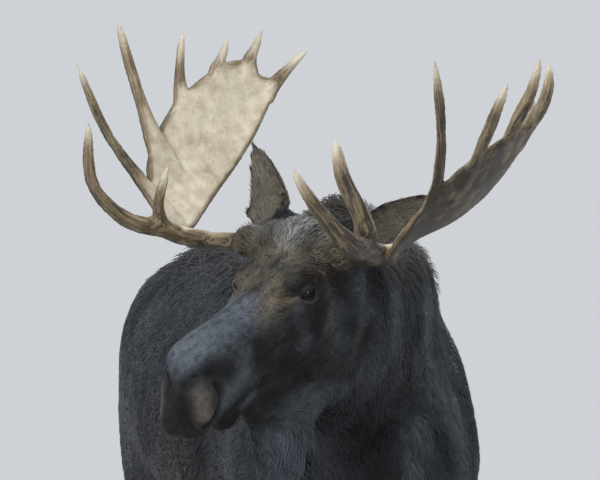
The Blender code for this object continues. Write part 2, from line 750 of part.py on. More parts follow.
def eye(side, head):
    place = Vector(mirrored([EYE_PLACE], side)[0])
    ball = ellipsoid(f"eye_{side}", place, (EYE_RADIUS,) * 3, "eye", HEAD, segments=12)
    socket = ellipsoid("socket", place, (EYE_RADIUS + GAP,) * 3, "eye", HEAD, segments=12)
    boolean(head, socket, "DIFFERENCE")
    bpy.data.objects.remove(socket)
    return ball


CLAW_LENGTH = 0.140
CLAW_WIDTH = 0.052
CLAW_GAP = 0.005
CORONET = 0.086


def claw(name, foot_x, foot_y, toe_side):
    """Half of a cloven hoof: flat-soled, pointed at the toe, with a sloping front wall."""
    rings = []
    levels = ((0.000, 1.00, 0.000), (0.012, 1.00, 0.002), (0.045, 0.86, 0.012), (CORONET, 0.68, 0.024))
    for z, grow, back in levels:
        ring = []
        for k in range(10):
            angle = 2 * math.pi * k / 10
            ahead = math.cos(angle)
            side = math.sin(angle)
            pointed = 1 - 0.55 * max(ahead, 0) ** 2
            inner_flat = 0.55 if side * toe_side < 0 else 1.0
            ring.append(
                (
                    foot_x + toe_side * (CLAW_GAP / 2 + CLAW_WIDTH * 0.36)
                    + side * pointed * inner_flat * CLAW_WIDTH * 0.62 * grow,
                    foot_y - 0.026 - ahead * CLAW_LENGTH / 2 * grow + back,
                    z,
                )
            )
        rings.append(ring)
    return solid_from_rings(name, rings, "horn")


def dewclaw(name, foot_x, foot_y, toe_side, leg_object):
    """A small horn behind the fetlock that points down and back."""
    path = (
        (foot_x + toe_side * 0.019, foot_y + 0.032, 0.152),
        (foot_x + toe_side * 0.026, foot_y + 0.062, 0.126),
        (foot_x + toe_side * 0.028, foot_y + 0.073, 0.096),
    )
    rings = tube_rings(smooth_path(path, 3), [0.0150, 0.0150, 0.0060], 7, 0.8, Vector((0, 1, 0)))
    return trimmed(solid_from_rings(name, rings, "horn"), leg_object)


def foot(kind, side, leg_object):
    stations = FORELEG if kind == "fore" else HINDLEG
    foot_x = SIDES[side] * stations[-1][2]
    foot_y = stations[-1][1] - STEPS[kind, side]
    made = []
    for place, toe_side in (("inner", -SIDES[side]), ("outer", SIDES[side])):
        piece = claw(f"hoof_{kind}_{side}_{place}", foot_x, foot_y, toe_side)
        made.append(trimmed(piece, leg_object))
        made.append(dewclaw(f"dewclaw_{kind}_{side}_{place}", foot_x, foot_y, toe_side, leg_object))
    return made


# Height, distance behind the rump's end, half width and half thickness of the tail.
TAIL = (
    (1.555, 1.395, 0.030, 0.022),
    (1.530, 1.450, 0.035, 0.027),
    (1.480, 1.492, 0.034, 0.025),
    (1.420, 1.510, 0.028, 0.020),
    (1.365, 1.512, 0.018, 0.013),
    (1.345, 1.510, 0.007, 0.006),
)


def tail(trunk_object):
    """A short flap of skin and hair against the rump."""
    places = smooth_path([(0, y, z) for z, y, *_ in TAIL], len(TAIL))
    rings = []
    for i, centre in enumerate(places):
        before, after = places[max(i - 1, 0)], places[min(i + 1, len(places) - 1)]
        ahead = Vector(after - before).normalized()
        out = Vector((1, 0, 0)).cross(ahead)
        ring = egg_ring(TAIL[i][2], TAIL[i][3], -TAIL[i][3], 0, 1.0, 10)
        rings.append([Vector(centre) + Vector((a, 0, 0)) + out * b for a, b in ring])
    return trimmed(solid_from_rings("tail", rings, "coat"), trunk_object)


# --- Parting the flesh and putting the animal together -------------------------------------------


def part_flesh(flesh):
    """Cuts the flesh into head, lower jaw, bell, neck, trunk and legs, each a solid of its own."""
    nodes = {}
    turned = HEAD.to_3x3()
    level_aim = Vector((turned.col[0].x, turned.col[0].y, 0)).normalized()
    below = HEAD @ Vector((0.150, 0, -0.318))
    nodes["bell"] = parted(flesh, "bell", below, turned @ Vector((0.15, 0, -1)), (0.27, 0.36), 0.40, turned.col[1])
    poll = HEAD @ Vector((-0.105, 0, -0.13))
    nodes["head"] = parted(flesh, "head", poll, level_aim + Vector((0, 0, 0.12)), (0.8, 0.8), 1.0, turned.col[1])
    mouth = HEAD @ Vector((0.350, 0, -0.236))
    aim = turned @ Vector((-0.22, 0, -1))
    nodes["jaw"] = parted(nodes["head"], "jaw", mouth, aim, (0.36, 0.15), 0.2, turned.col[1])
    for side, sign in SIDES.items():
        name = f"foreleg_{side}"
        nodes[name] = parted(flesh, name, (sign * 0.30, 0.0, 1.035), (0, 0, -1), (0.58, 0.70), 1.1)
        name = f"hindleg_{side}"
        nodes[name] = parted(flesh, name, (sign * 0.30, 1.20, 1.085), (0, 0, -1), (0.58, 0.80), 1.2)
    nodes["neck"] = parted(flesh, "neck", (-0.050, -0.250, 1.40), (-0.30, -0.95, 0.25), (1.2, 1.4), 1.0)
    largest_body(flesh)
    flesh.name = "trunk"
    nodes["trunk"] = flesh
    return nodes


def settle(things):
    """Hangs every piece on one empty that brings the animal's origin to the floor under its middle."""
    corners = np.array([v.co[:] for thing in things for v in thing.data.vertices])
    low, high = corners.min(axis=0), corners.max(axis=0)
    stand = bpy.data.objects.new("bull_moose", None)
    bpy.context.scene.collection.objects.link(stand)
    stand.location = (-(low[0] + high[0]) / 2, -(low[1] + high[1]) / 2, -low[2])
    for thing in things:
        thing.parent = stand
        own = thing.data.materials[0].copy()
        own.name = f"{thing.name}_{thing.data.materials[0].name}"
        thing.data.materials[0] = own
        thing.data.shade_smooth()
        thing.data.set_sharp_from_angle(angle=math.radians(50))


def main():
    clear_scene()
    nodes = part_flesh(whole_flesh())
    for side in SIDES:
        nodes[f"eye_{side}"] = eye(side, nodes["head"])
    for side in SIDES:
        nodes[f"ear_{side}"] = ear(side, nodes["head"])
        for piece in antler(side, nodes["head"]):
            nodes[piece.name] = piece
        for kind in ("fore", "hind"):
            for piece in foot(kind, side, nodes[f"{kind}leg_{side}"]):
                nodes[piece.name] = piece
    nodes["tail"] = tail(nodes["trunk"])
    settle(list(nodes.values()))


main()
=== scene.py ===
"""A life-size bull moose as a still model: one skin, a coat of solid tufts, eyes, antlers and hooves.

Units are metres, +Z is up and the body faces -Y, as in the frame. The pieces follow in the order in
which the model is put together: skin, eyes, antlers, hooves, coat, then the studio around it.
"""

import heapq
import math

import bpy
import numpy as np
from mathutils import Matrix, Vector
from mathutils.bvhtree import BVHTree


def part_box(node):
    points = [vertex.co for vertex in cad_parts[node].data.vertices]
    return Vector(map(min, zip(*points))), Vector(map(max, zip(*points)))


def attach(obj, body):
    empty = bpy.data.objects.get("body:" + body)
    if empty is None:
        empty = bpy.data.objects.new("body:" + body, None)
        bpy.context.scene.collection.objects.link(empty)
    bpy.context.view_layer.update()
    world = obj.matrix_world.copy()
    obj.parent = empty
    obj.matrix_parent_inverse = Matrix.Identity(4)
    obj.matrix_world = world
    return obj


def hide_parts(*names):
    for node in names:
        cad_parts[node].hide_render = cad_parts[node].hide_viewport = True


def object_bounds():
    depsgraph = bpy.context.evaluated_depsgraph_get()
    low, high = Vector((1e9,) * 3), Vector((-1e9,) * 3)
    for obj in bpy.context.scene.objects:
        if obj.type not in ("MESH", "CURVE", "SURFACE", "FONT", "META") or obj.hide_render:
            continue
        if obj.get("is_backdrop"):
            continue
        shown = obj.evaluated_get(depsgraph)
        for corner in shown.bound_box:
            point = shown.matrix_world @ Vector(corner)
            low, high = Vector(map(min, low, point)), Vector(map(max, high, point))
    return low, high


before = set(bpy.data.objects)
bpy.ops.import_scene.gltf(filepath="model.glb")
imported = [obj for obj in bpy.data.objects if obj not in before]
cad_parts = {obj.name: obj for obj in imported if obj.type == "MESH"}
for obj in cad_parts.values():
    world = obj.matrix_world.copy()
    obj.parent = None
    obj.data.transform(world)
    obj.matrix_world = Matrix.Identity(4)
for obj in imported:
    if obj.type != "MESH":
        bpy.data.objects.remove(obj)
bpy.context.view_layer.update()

# --- Skin ---------------------------------------------------------------------------------------
# The hide over the whole animal, in one sheet from the nose to the hooves. The solids of flesh are
# swollen until they meet, fused, smoothed and drawn in by the depth of the coat that will cover them.
FLESH = (
    "trunk", "neck", "head", "jaw", "bell", "tail", "ear_left", "ear_right",
    "foreleg_left", "foreleg_right", "hindleg_left", "hindleg_right",
)
OVERLAP = 0.002
EAR_OVERLAP = 0.0045
SKIN_VOXEL = 0.0085
EASING = {
    "trunk": 0.55, "neck": 0.50, "head": 0.045, "jaw": 0.045,
    "bell": 0.30, "tail": 0.10, "ear": 0.06, "leg": 0.10,
}
EASING_ROUNDS = 48
COAT_DEPTH = {
    "trunk": 0.017, "neck": 0.016, "head": 0.005, "jaw": 0.005,
    "bell": 0.018, "tail": 0.010, "ear": 0.001, "leg": 0.006,
}
BODY_TRIANGLES = 0.28

# To the right as one faces the animal, and a distance longer than the whole animal.
VIEW_RIGHT = np.array([0.9703, -0.2419, 0.0])
FAR = 9.0


def fused_copy(name, nodes, voxel, overlap):
    """One closed mesh over copies of the named solids."""
    bpy.ops.object.select_all(action="DESELECT")
    for node in nodes:
        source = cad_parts[node]
        copy = bpy.data.objects.new(name, source.data.copy())
        bpy.context.scene.collection.objects.link(copy)
        copy["thin"] = node.startswith("ear")
        copy.select_set(True)
        bpy.context.view_layer.objects.active = copy
    bpy.ops.object.mode_set(mode="EDIT")
    bpy.ops.mesh.select_all(action="SELECT")
    bpy.ops.mesh.remove_doubles(threshold=0.00005)
    bpy.ops.object.mode_set(mode="OBJECT")
    copies = list(bpy.context.selected_objects)
    for copy in copies:
        bpy.context.view_layer.objects.active = copy
        swell = copy.modifiers.new("swell", "DISPLACE")
        swell.strength = EAR_OVERLAP if copy.get("thin") else overlap
        swell.mid_level = 0.0
        bpy.ops.object.modifier_apply(modifier="swell")
    if len(copies) > 1:
        bpy.ops.object.join()
    fused = bpy.context.view_layer.objects.active
    fused.name = fused.data.name = name
    fused.data.materials.clear()
    remesh = fused.modifiers.new("fuse", "REMESH")
    remesh.mode = "VOXEL"
    remesh.voxel_size = voxel
    bpy.ops.object.modifier_apply(modifier="fuse")
    return fused


def points_of(mesh):
    values = np.zeros(len(mesh.vertices) * 3)
    mesh.vertices.foreach_get("co", values)
    return values.reshape(-1, 3)


def set_points(mesh, points):
    mesh.vertices.foreach_set("co", points.ravel())
    mesh.update()


def normals_of(mesh):
    values = np.zeros(len(mesh.vertices) * 3)
    mesh.vertices.foreach_get("normal", values)
    return values.reshape(-1, 3)


def edges_of(mesh):
    values = np.zeros(len(mesh.edges) * 2, dtype=np.int64)
    mesh.edges.foreach_get("vertices", values)
    return values.reshape(-1, 2)


def neighbour_mean(values, edges):
    """The mean of each vertex's neighbours."""
    count = len(values)
    degree = np.bincount(edges.ravel(), minlength=count)
    columns = []
    for column in values.reshape(count, -1).T:
        total = np.bincount(edges[:, 0], weights=column[edges[:, 1]], minlength=count)
        total += np.bincount(edges[:, 1], weights=column[edges[:, 0]], minlength=count)
        columns.append(total / np.maximum(degree, 1))
    return np.array(columns).T.reshape(values.shape)


def eased(values, edges, rounds, share):
    """Values evened out over the mesh, by a share of the way to the neighbours' mean in each round."""
    for _ in range(rounds):
        values = values + share * (neighbour_mean(values, edges) - values)
    return values


def ramp(values, low, high):
    """0 below low, 1 above high and smooth between them."""
    t = np.clip((values - low) / (high - low), 0, 1)
    return t * t * (3 - 2 * t)


def spans(vectors):
    return np.linalg.norm(vectors, axis=1)


def unit(vectors):
    return vectors / np.maximum(spans(vectors), 1e-9)[:, None]


def fading(gap, reach):
    """1 where the gap is 0, dying away over the reach."""
    return np.exp(-((gap / reach) ** 2))


def fading_round(places, middle, reach):
    """1 at one place, dying away over the reach in each direction."""
    return np.exp(-(((places - np.array(middle)) / reach) ** 2).sum(axis=1))


def kind_of(node):
    return node.split("_")[0].replace("foreleg", "leg").replace("hindleg", "leg")


def nearest_node(points, nodes):
    """For each point, the number of the named solid whose surface lies nearest."""
    corners, faces, owner = [], [], []
    for number, node in enumerate(nodes):
        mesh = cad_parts[node].data
        start = len(corners)
        corners.extend(v.co[:] for v in mesh.vertices)
        faces.extend([start + i for i in face.vertices] for face in mesh.polygons)
        owner.extend([number] * len(mesh.polygons))
    tree = BVHTree.FromPolygons(corners, faces)
    return np.array([owner[tree.find_nearest(point)[2]] for point in points.tolist()])


def shares_of(mesh, rounds):
    """How far each vertex belongs to each kind of flesh, blended across the joins."""
    owner = nearest_node(points_of(mesh), FLESH)
    kinds = sorted({kind_of(node) for node in FLESH})
    number = np.array([kinds.index(kind_of(node)) for node in FLESH])
    whole = np.eye(len(kinds))[number[owner]]
    whole = eased(whole, edges_of(mesh), rounds, 0.5)
    return {kind: whole[:, i] for i, kind in enumerate(kinds)}


skin = fused_copy("skin", FLESH + ("eye_left", "eye_right"), SKIN_VOXEL, OVERLAP)
part = shares_of(skin.data, 6)
links = edges_of(skin.data)
points = points_of(skin.data)
softness = sum(part[kind] * EASING[kind] for kind in part)[:, None]
points = eased(points, links, EASING_ROUNDS, softness)
set_points(skin.data, points)

# The head's own directions: from the brow to the nose, to the animal's left, and out of the brow.
HEAD_DIP = math.radians(25)
ANTLER_SEAT = (0.0, 0.129, 0.0)
SEAT_REACH = 0.045
EYE_AHEAD = 0.114
EYE_BELOW = 0.047
eye_centre = {}
for side in ("left", "right"):
    low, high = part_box(f"eye_{side}")
    eye_centre[side] = (low + high) / 2
head_left = (eye_centre["left"] - eye_centre["right"]).normalized()
level = Vector((head_left.y, -head_left.x, 0)).normalized()
climb = head_left.cross(level)
lean = math.asin(-math.sin(HEAD_DIP) / climb.z)
head_ahead = level * math.cos(lean) + climb * math.sin(lean)
head_up = head_ahead.cross(head_left)
brow = (eye_centre["left"] + eye_centre["right"]) / 2 - head_ahead * EYE_AHEAD + head_up * EYE_BELOW
head_axes = np.array([head_ahead[:], head_left[:], head_up[:]])
brow_point = np.array(brow[:])


def in_head(points):
    """Places in the head's own frame: ahead of the brow, to the left and above it."""
    return (points - brow_point) @ head_axes.T


def mirrored_in_head(points):
    """The same, with the right side laid over the left."""
    place = in_head(points)
    place[:, 1] = np.abs(place[:, 1])
    return place


def seat_shares(places):
    """1 where an antler grows out of the head."""
    return fading(spans(places - ANTLER_SEAT), SEAT_REACH)


def thinned(thing, keep, ratio):
    """Fewer faces, where keep is 0."""
    group = thing.vertex_groups.new(name="plain")
    for weight, chosen in ((1.0, ~keep), (0.0, keep)):
        group.add(np.nonzero(chosen)[0].tolist(), weight, "REPLACE")
    thin = thing.modifiers.new("thin", "DECIMATE")
    thin.ratio = ratio
    thin.vertex_group = "plain"
    bpy.context.view_layer.objects.active = thing
    bpy.ops.object.modifier_apply(modifier="thin")
    thing.vertex_groups.clear()


def refined(thing, chosen):
    """The chosen faces cut in four."""
    faces = np.zeros(len(thing.data.polygons), dtype=bool)
    for face in thing.data.polygons:
        faces[face.index] = all(chosen[i] for i in face.vertices)
    bpy.ops.object.select_all(action="DESELECT")
    thing.select_set(True)
    bpy.context.view_layer.objects.active = thing
    bpy.ops.object.mode_set(mode="EDIT")
    bpy.ops.mesh.select_mode(type="FACE")
    bpy.ops.mesh.select_all(action="DESELECT")
    bpy.ops.object.mode_set(mode="OBJECT")
    thing.data.polygons.foreach_set("select", faces)
    bpy.ops.object.mode_set(mode="EDIT")
    bpy.ops.mesh.subdivide(number_cuts=1, smoothness=0.7)
    bpy.ops.object.mode_set(mode="OBJECT")


# Drawn in by the depth of the coat, deeper along the hump, and let down over the tops of the hooves.
HUMP_Z = (1.62, 1.80)
HUMP_END_Y = (0.35, 0.85)
LOW_LEG_Z = (-0.75, -0.55)
CORONET_Z = (-0.150, -0.095)
HUMP_EXTRA = 0.016
ANKLE_LESS = 0.002
CORONET_LESS = 0.005
CORONET_DROP = 0.012
place = in_head(points)
hump = ramp(points[:, 2], *HUMP_Z) * part["trunk"] * (1 - ramp(points[:, 1], *HUMP_END_Y))
ankle = part["leg"] * ramp(-points[:, 2], *LOW_LEG_Z)
coronet = part["leg"] * ramp(-points[:, 2], *CORONET_Z)
depth = sum(part[kind] * COAT_DEPTH[kind] for kind in part)
depth = depth + HUMP_EXTRA * hump - ANKLE_LESS * ankle + OVERLAP
depth -= CORONET_LESS * coronet
depth += part["ear"] * (EAR_OVERLAP - OVERLAP)
seat_near = seat_shares(mirrored_in_head(points))
points = points - normals_of(skin.data) * (depth * (1 - seat_near))[:, None]
points = eased(points, links, 4, softness)
points[:, 2] -= CORONET_DROP * coronet

# Behind the jaw the neck runs into the head without a step.
JOIN_WIDTH = 70
JOIN_ROUNDS = 110
JOIN_SHARE = (0.12, 0.55)
CLEAR_OF_EAR = (0.0, 0.2)
CLEAR_OF_FACE = (0.10, 0.16)
neck_side = eased(part["neck"] + part["trunk"] + part["bell"], links, JOIN_WIDTH, 0.6)
joint = ramp(4 * neck_side * (1 - neck_side), *JOIN_SHARE) * (1 - seat_near)
joint *= 1 - ramp(part["ear"], *CLEAR_OF_EAR)
joint *= 1 - ramp(place[:, 0], *CLEAR_OF_FACE)
points = eased(points, links, JOIN_ROUNDS, 0.55 * joint[:, None])

# The right ear opens forwards: its outer rim is drawn out, wide at the middle and rounded at the tip.
EAR_TIP_ACROSS = -0.0825
EAR_TIP_ABOVE = 0.231
EAR_RIM_SLOPE = 0.4927
EAR_WIDER = 0.50
EAR_RIM_OUT = 0.006
EAR_SHARE = (0.02, 0.25)
EAR_START = (0.012, 0.050)
RIGHT_EAR_END = 0.05
across = (points - brow_point) @ VIEW_RIGHT
above = points[:, 2] - brow_point[2]
rim = EAR_TIP_ACROSS + (EAR_TIP_ABOVE - above) * EAR_RIM_SLOPE
spread = (rim - across) * EAR_WIDER + EAR_RIM_OUT
spread *= (
    ramp(part["ear"], *EAR_SHARE) * (across < rim) * (across < RIGHT_EAR_END) * ramp(above, *EAR_START)
)
points = points - VIEW_RIGHT * spread[:, None]

# The left ear hangs a little lower along its under edge.
EAR_DROP = 0.016
DROP_ACROSS = (0.12, 0.18)
DROP_ABOVE = (0.055, 0.095)
points[:, 2] -= EAR_DROP * part["ear"] * ramp(across, *DROP_ACROSS) * (1 - ramp(above, *DROP_ABOVE))
set_points(skin.data, points)

# Fuller places on the body: the middle of each, its reach, a shift and a widening about the spine.
SPINE_X = 0.238
SPINE_HALF = 0.08
BODY_FILLS = (
    ((SPINE_X, 0.85, 1.64), (0.34, 0.62, 0.26), (0.000, 0.000, 0.050), 0.026),
    ((SPINE_X, 0.95, 1.38), (0.45, 0.50, 0.16), (0.000, 0.000, 0.000), 0.020),
    ((0.340, -0.38, 1.70), (0.17, 0.24, 0.15), (0.036, -0.009, 0.004), 0.0),
    ((0.420, -0.42, 1.19), (0.18, 0.24, 0.15), (0.030, -0.007, 0.000), 0.0),
    ((0.150, -0.80, 1.62), (0.10, 0.12, 0.13), (-0.009, -0.036, 0.000), 0.0),
)
body_share = eased(part["trunk"] + part["neck"] + 0.5 * part["leg"], links, 8, 0.5)
for middle, reach, shift, widening in BODY_FILLS:
    near = body_share * fading_round(points, middle, reach)
    sideways = np.outer(widening * np.tanh((points[:, 0] - SPINE_X) / SPINE_HALF), [1.0, 0.0, 0.0])
    points = points + near[:, None] * (np.array(shift) + sideways)
set_points(skin.data, points)

# The body keeps a coarser mesh than the face, and the muzzle and the rims of the eyes get the finest.
NOSTRIL = (0.455, 0.066, -0.150)
MUZZLE_REACH = 0.085
ORBIT_REACH = 0.036
place = in_head(points)
face_share = (part["head"] + part["jaw"]) * ramp(place[:, 0], -0.20, -0.10) + part["ear"]
thinned(skin, face_share > 0.02, BODY_TRIANGLES)
part = shares_of(skin.data, 1)
place = in_head(points_of(skin.data))
refined(skin, (part["head"] + part["jaw"]) * (place[:, 0] > -0.13) + part["ear"] > 0.5)
mirrored = mirrored_in_head(points_of(skin.data))
muzzle = spans((mirrored - NOSTRIL) * [1, 0.6, 1]) < MUZZLE_REACH
orbit = spans(mirrored - [EYE_AHEAD, 0.100, -EYE_BELOW]) < ORBIT_REACH
refined(skin, muzzle | orbit)
links = edges_of(skin.data)
points = eased(points_of(skin.data), links, 3, 0.4)
set_points(skin.data, points)


def near_route(places, route, width):
    """1 along a route of straight stretches, dying away over its width. Both are in millimetres."""
    nearest = np.full(len(places), FAR)
    for start, end in zip(route[:-1], route[1:]):
        start, end = np.array(start) / 1000, np.array(end) / 1000
        way = end - start
        share = np.clip((places - start) @ way / max(way @ way, 1e-9), 0, 1)
        nearest = np.minimum(nearest, spans(places - start - share[:, None] * way))
    return fading(nearest, width / 1000)


# The places on the head before it is filled out; strokes and markings are laid on these.
part = shares_of(skin.data, 2)
layout = mirrored_in_head(points_of(skin.data))
flesh_of_head = (part["head"] + part["jaw"]) * (1 - seat_shares(layout))

# How far the face is filled out: the bridge lifted and widened, the front squared, the chin's back raised
# and the far brow pressed in. The far lip's places are each moved sideways, back and down.
BRIDGE_LIFT = 0.028
BRIDGE_WIDER = 0.012
BRIDGE_AHEAD = 0.425
BRIDGE_REACH = 0.105
BRIDGE_ABOVE = (-0.18, -0.07)
CORNER_OUT = 0.016
CORNER = ((0.475, -0.085), (0.05, 0.04))
FRONT_IN = 0.014
FRONT = ((0.515, -0.200), (0.05, 0.06))
CHIN_LIFT = 0.022
CHIN_AHEAD = 0.14
CHIN_REACH = 0.09
CHIN_BELOW = (0.19, 0.28)
FAR_BROW_IN = 0.020
FAR_BROW = ((0.125, -0.105, -0.015), 0.055)
FAR_LIP = (
    ((0.475, -0.065, -0.128), 0.050, 0.014, 0.009, 0.000),
    ((0.495, -0.052, -0.218), 0.042, -0.015, 0.000, 0.010),
)


def filled(points):
    """How far each place on the face moves when the face is filled out."""
    place = in_head(points)
    side_on = place[:, [0, 2]]
    bridge = fading(place[:, 0] - BRIDGE_AHEAD, BRIDGE_REACH) * ramp(place[:, 2], *BRIDGE_ABOVE)
    wider = np.tanh(place[:, 1] / 0.02)
    shift = np.outer(bridge * BRIDGE_LIFT, head_axes[2])
    shift = shift + np.outer(bridge * BRIDGE_WIDER * wider, head_axes[1])
    corner = fading_round(side_on, *CORNER)
    front = fading_round(side_on, *FRONT)
    shift += np.outer(CORNER_OUT * corner - FRONT_IN * front, head_axes[0])
    for where, reach, sideways, back, down in FAR_LIP:
        near = fading_round(place, where, reach)
        shift += np.outer(near, sideways * head_axes[1] - back * head_axes[0] - down * head_axes[2])
    chin_back = fading(place[:, 0] - CHIN_AHEAD, CHIN_REACH) * ramp(-place[:, 2], *CHIN_BELOW)
    shift += np.outer(CHIN_LIFT * chin_back, head_axes[2])
    brow_side = fading_round(place, *FAR_BROW)
    return shift + np.outer(brow_side * FAR_BROW_IN, head_axes[1])


points = points_of(skin.data)
points = points + filled(points) * flesh_of_head[:, None]
set_points(skin.data, eased(points, edges_of(skin.data), 3, 0.4 * flesh_of_head[:, None]))

# Strokes on both sides of the head, in millimetres: a route ahead of, beside and above the brow, its
# width and its height. A negative height presses a furrow and a positive one raises a ridge.
MOUTH = ((262, 70, -184), (278, 64, -195), (303, 52, -207), (339, 46, -212),
         (365, 40, -225), (391, 30, -247), (402, 0, -256))
SLIT = ((422, 69, -126), (414, 73, -145), (422, 74, -160), (436, 74, -172),
        (450, 70, -184), (468, 66, -192), (486, 60, -196))
NOSTRIL_HOLLOW = ((480, 18, -108), (446, 41, -104), (414, 56, -104), (381, 66, -114), (366, 68, -130))
PAD = ((472, 62, -132), (480, 58, -170))
STROKES = (
    # Bony ridge over the eye, the hollow before it and the swelling that carries the lids.
    (((30, 114, -2), (70, 106, -4), (115, 106, -10), (150, 92, -26)), 18, 5),
    (((165, 90, -60), (200, 76, -80)), 17, -5),
    (((76, 108, -40), (85, 110, -66), (115, 106, -78)), 30, 6),
    # Cheekbone from under the eye towards the muzzle.
    (((60, 108, -95), (130, 98, -105), (210, 80, -125), (280, 70, -135)), 18, 4),
    # Edge of the jaw muscle and the hollow in front of it.
    (((30, 110, -240), (90, 100, -225), (125, 95, -190)), 20, 4.5),
    (((170, 75, -240), (190, 80, -200), (185, 85, -160)), 20, -5),
    (((255, 74, -100), (268, 72, -130)), 20, -4.5),
    # Mouth line with a rolled lip over it and the lower lip under it.
    (MOUTH, 8.2, -16),
    (((290, 66, -182), (345, 62, -190), (385, 56, -206), (415, 46, -230)), 12, 7),
    (((300, 45, -228), (335, 40, -238), (365, 30, -252)), 10, 5),
    # Broad hollow over the nostril, the pad under it, and the slit with its rim.
    (NOSTRIL_HOLLOW, 16, -11),
    (PAD, 24, 7),
    (SLIT, 7.2, -20),
    (((404, 71, -140), (406, 73, -160), (420, 73, -178), (440, 69, -195), (468, 62, -206)), 7.5, 5.5),
    # Furrow down the middle of the upper lip.
    (((512, 0, -150), (520, 0, -200), (500, 0, -240)), 7, -3),
)
for route, width, height in STROKES:
    pressed = height / 1000 * near_route(layout, route, width)
    set_points(skin.data, points_of(skin.data) + normals_of(skin.data) * pressed[:, None])

# Lids: near each eye the skin is laid over the eyeball, a little proud of it, and inside the opening it
# dives behind the ball. The opening is wider than it is tall, and its rim is drawn to a clean edge.
EYE_RADIUS = 0.0208
EYE_SUNK = {"left": 0.0015, "right": 0.0090}
EYE_FORWARD = 0.006
EYE_WITH_FACE = 1.35
EYE_REACH = 0.085
LID = 0.0024
LID_RIM = 0.0009
RIM_WIDTH = 0.055
BEHIND_BALL = 0.004
OPENING = (math.radians(57), math.radians(41))
EYE_WAY = (0.40, 0.90, 0.16)

# Rolls and creases of the lids: height, how far they lie from the edge in radians, and their width.
LID_ROLL = (0.0007, 0.14, 0.09)
UPPER_CREASE = (-0.0016, 0.26, 0.06)
LOWER_CREASE = (-0.0008, 0.30, 0.05)
LOWER_BAG = (0.0016, 0.48, 0.12)
UPPER_SWELL = 0.0024
UPPER_SWELL_AT = (0.22, 0.42)
LID_INTO_FACE = (0.40, 1.25)
TEAR_CORNER_TURN = -0.25
TEAR_CORNER_WIDTH = 0.30
TEAR_CORNER_LONGER = 0.16


def rolled(off, height, where, width):
    return height * fading(off - where, width)


ball_centre = {}
eye_way = {}
for side, sign in (("left", 1), ("right", -1)):
    outward = head_ahead * EYE_WAY[0] + head_left * EYE_WAY[1] * sign + head_up * EYE_WAY[2]
    outward.normalize()
    centre = eye_centre[side] - head_left * sign * EYE_SUNK[side] - head_ahead * EYE_FORWARD
    centre = centre + Vector((filled(np.array([centre[:]]))[0] * EYE_WITH_FACE).tolist())
    ball_centre[side], eye_way[side] = centre, outward
    level_way = (head_ahead - outward * head_ahead.dot(outward)).normalized()
    steep_way = outward.cross(level_way) * sign
    points = points_of(skin.data)
    away = points - np.array(centre[:])
    gap = spans(away)
    near = gap < EYE_REACH
    spot, reach = away[near], gap[near]
    ahead = spot @ np.array(level_way[:]) / reach
    above = spot @ np.array(steep_way[:]) / reach
    out = spot @ np.array(outward[:]) / reach
    turn = np.arctan2(above, ahead)
    angle = np.arccos(np.clip(out, -1, 1))
    upper = ramp(np.sin(turn), -0.1, 0.4)
    corner = fading(turn - TEAR_CORNER_TURN, TEAR_CORNER_WIDTH)
    wide = OPENING[0] * (1 + 0.12 * np.cos(turn)) + TEAR_CORNER_LONGER * corner
    tall = OPENING[1] * (1 - 0.07 * upper)
    edge = 1 / np.sqrt((np.cos(turn) / wide) ** 2 + (np.sin(turn) / tall) ** 2)
    off = angle - edge
    snapped = np.abs(off) < RIM_WIDTH
    angle = np.where(snapped, edge + 0.004, angle)
    lid = EYE_RADIUS + LID + rolled(off, *LID_ROLL)
    lid += upper * (UPPER_SWELL * ramp(off, *UPPER_SWELL_AT) + rolled(off, *UPPER_CREASE))
    lid += (1 - upper) * (rolled(off, *LOWER_BAG) + rolled(off, *LOWER_CREASE))
    blend = ramp(off, *LID_INTO_FACE)
    laid_on = lid * (1 - blend) + np.maximum(reach, lid * 0.98) * blend
    laid_on = np.maximum(laid_on, np.where(off > 0.5, reach, 0))
    wanted = np.where(off > -RIM_WIDTH, laid_on, EYE_RADIUS - BEHIND_BALL)
    wanted = np.where(snapped, EYE_RADIUS + LID_RIM, wanted)
    wanted = np.where(out < -0.1, reach, wanted)
    side_way = np.outer(np.cos(turn), np.array(level_way[:]))
    side_way += np.outer(np.sin(turn), np.array(steep_way[:]))
    placed = np.cos(angle)[:, None] * np.array(outward[:]) + np.sin(angle)[:, None] * side_way
    points[near] = np.array(centre[:]) + placed * wanted[:, None]
    soft = np.zeros(len(points))
    soft[near] = ramp(off, 0.42, 0.60) * (out > -0.3)
    points = eased(points, edges_of(skin.data), 8, 0.5 * soft[:, None])
    set_points(skin.data, points)


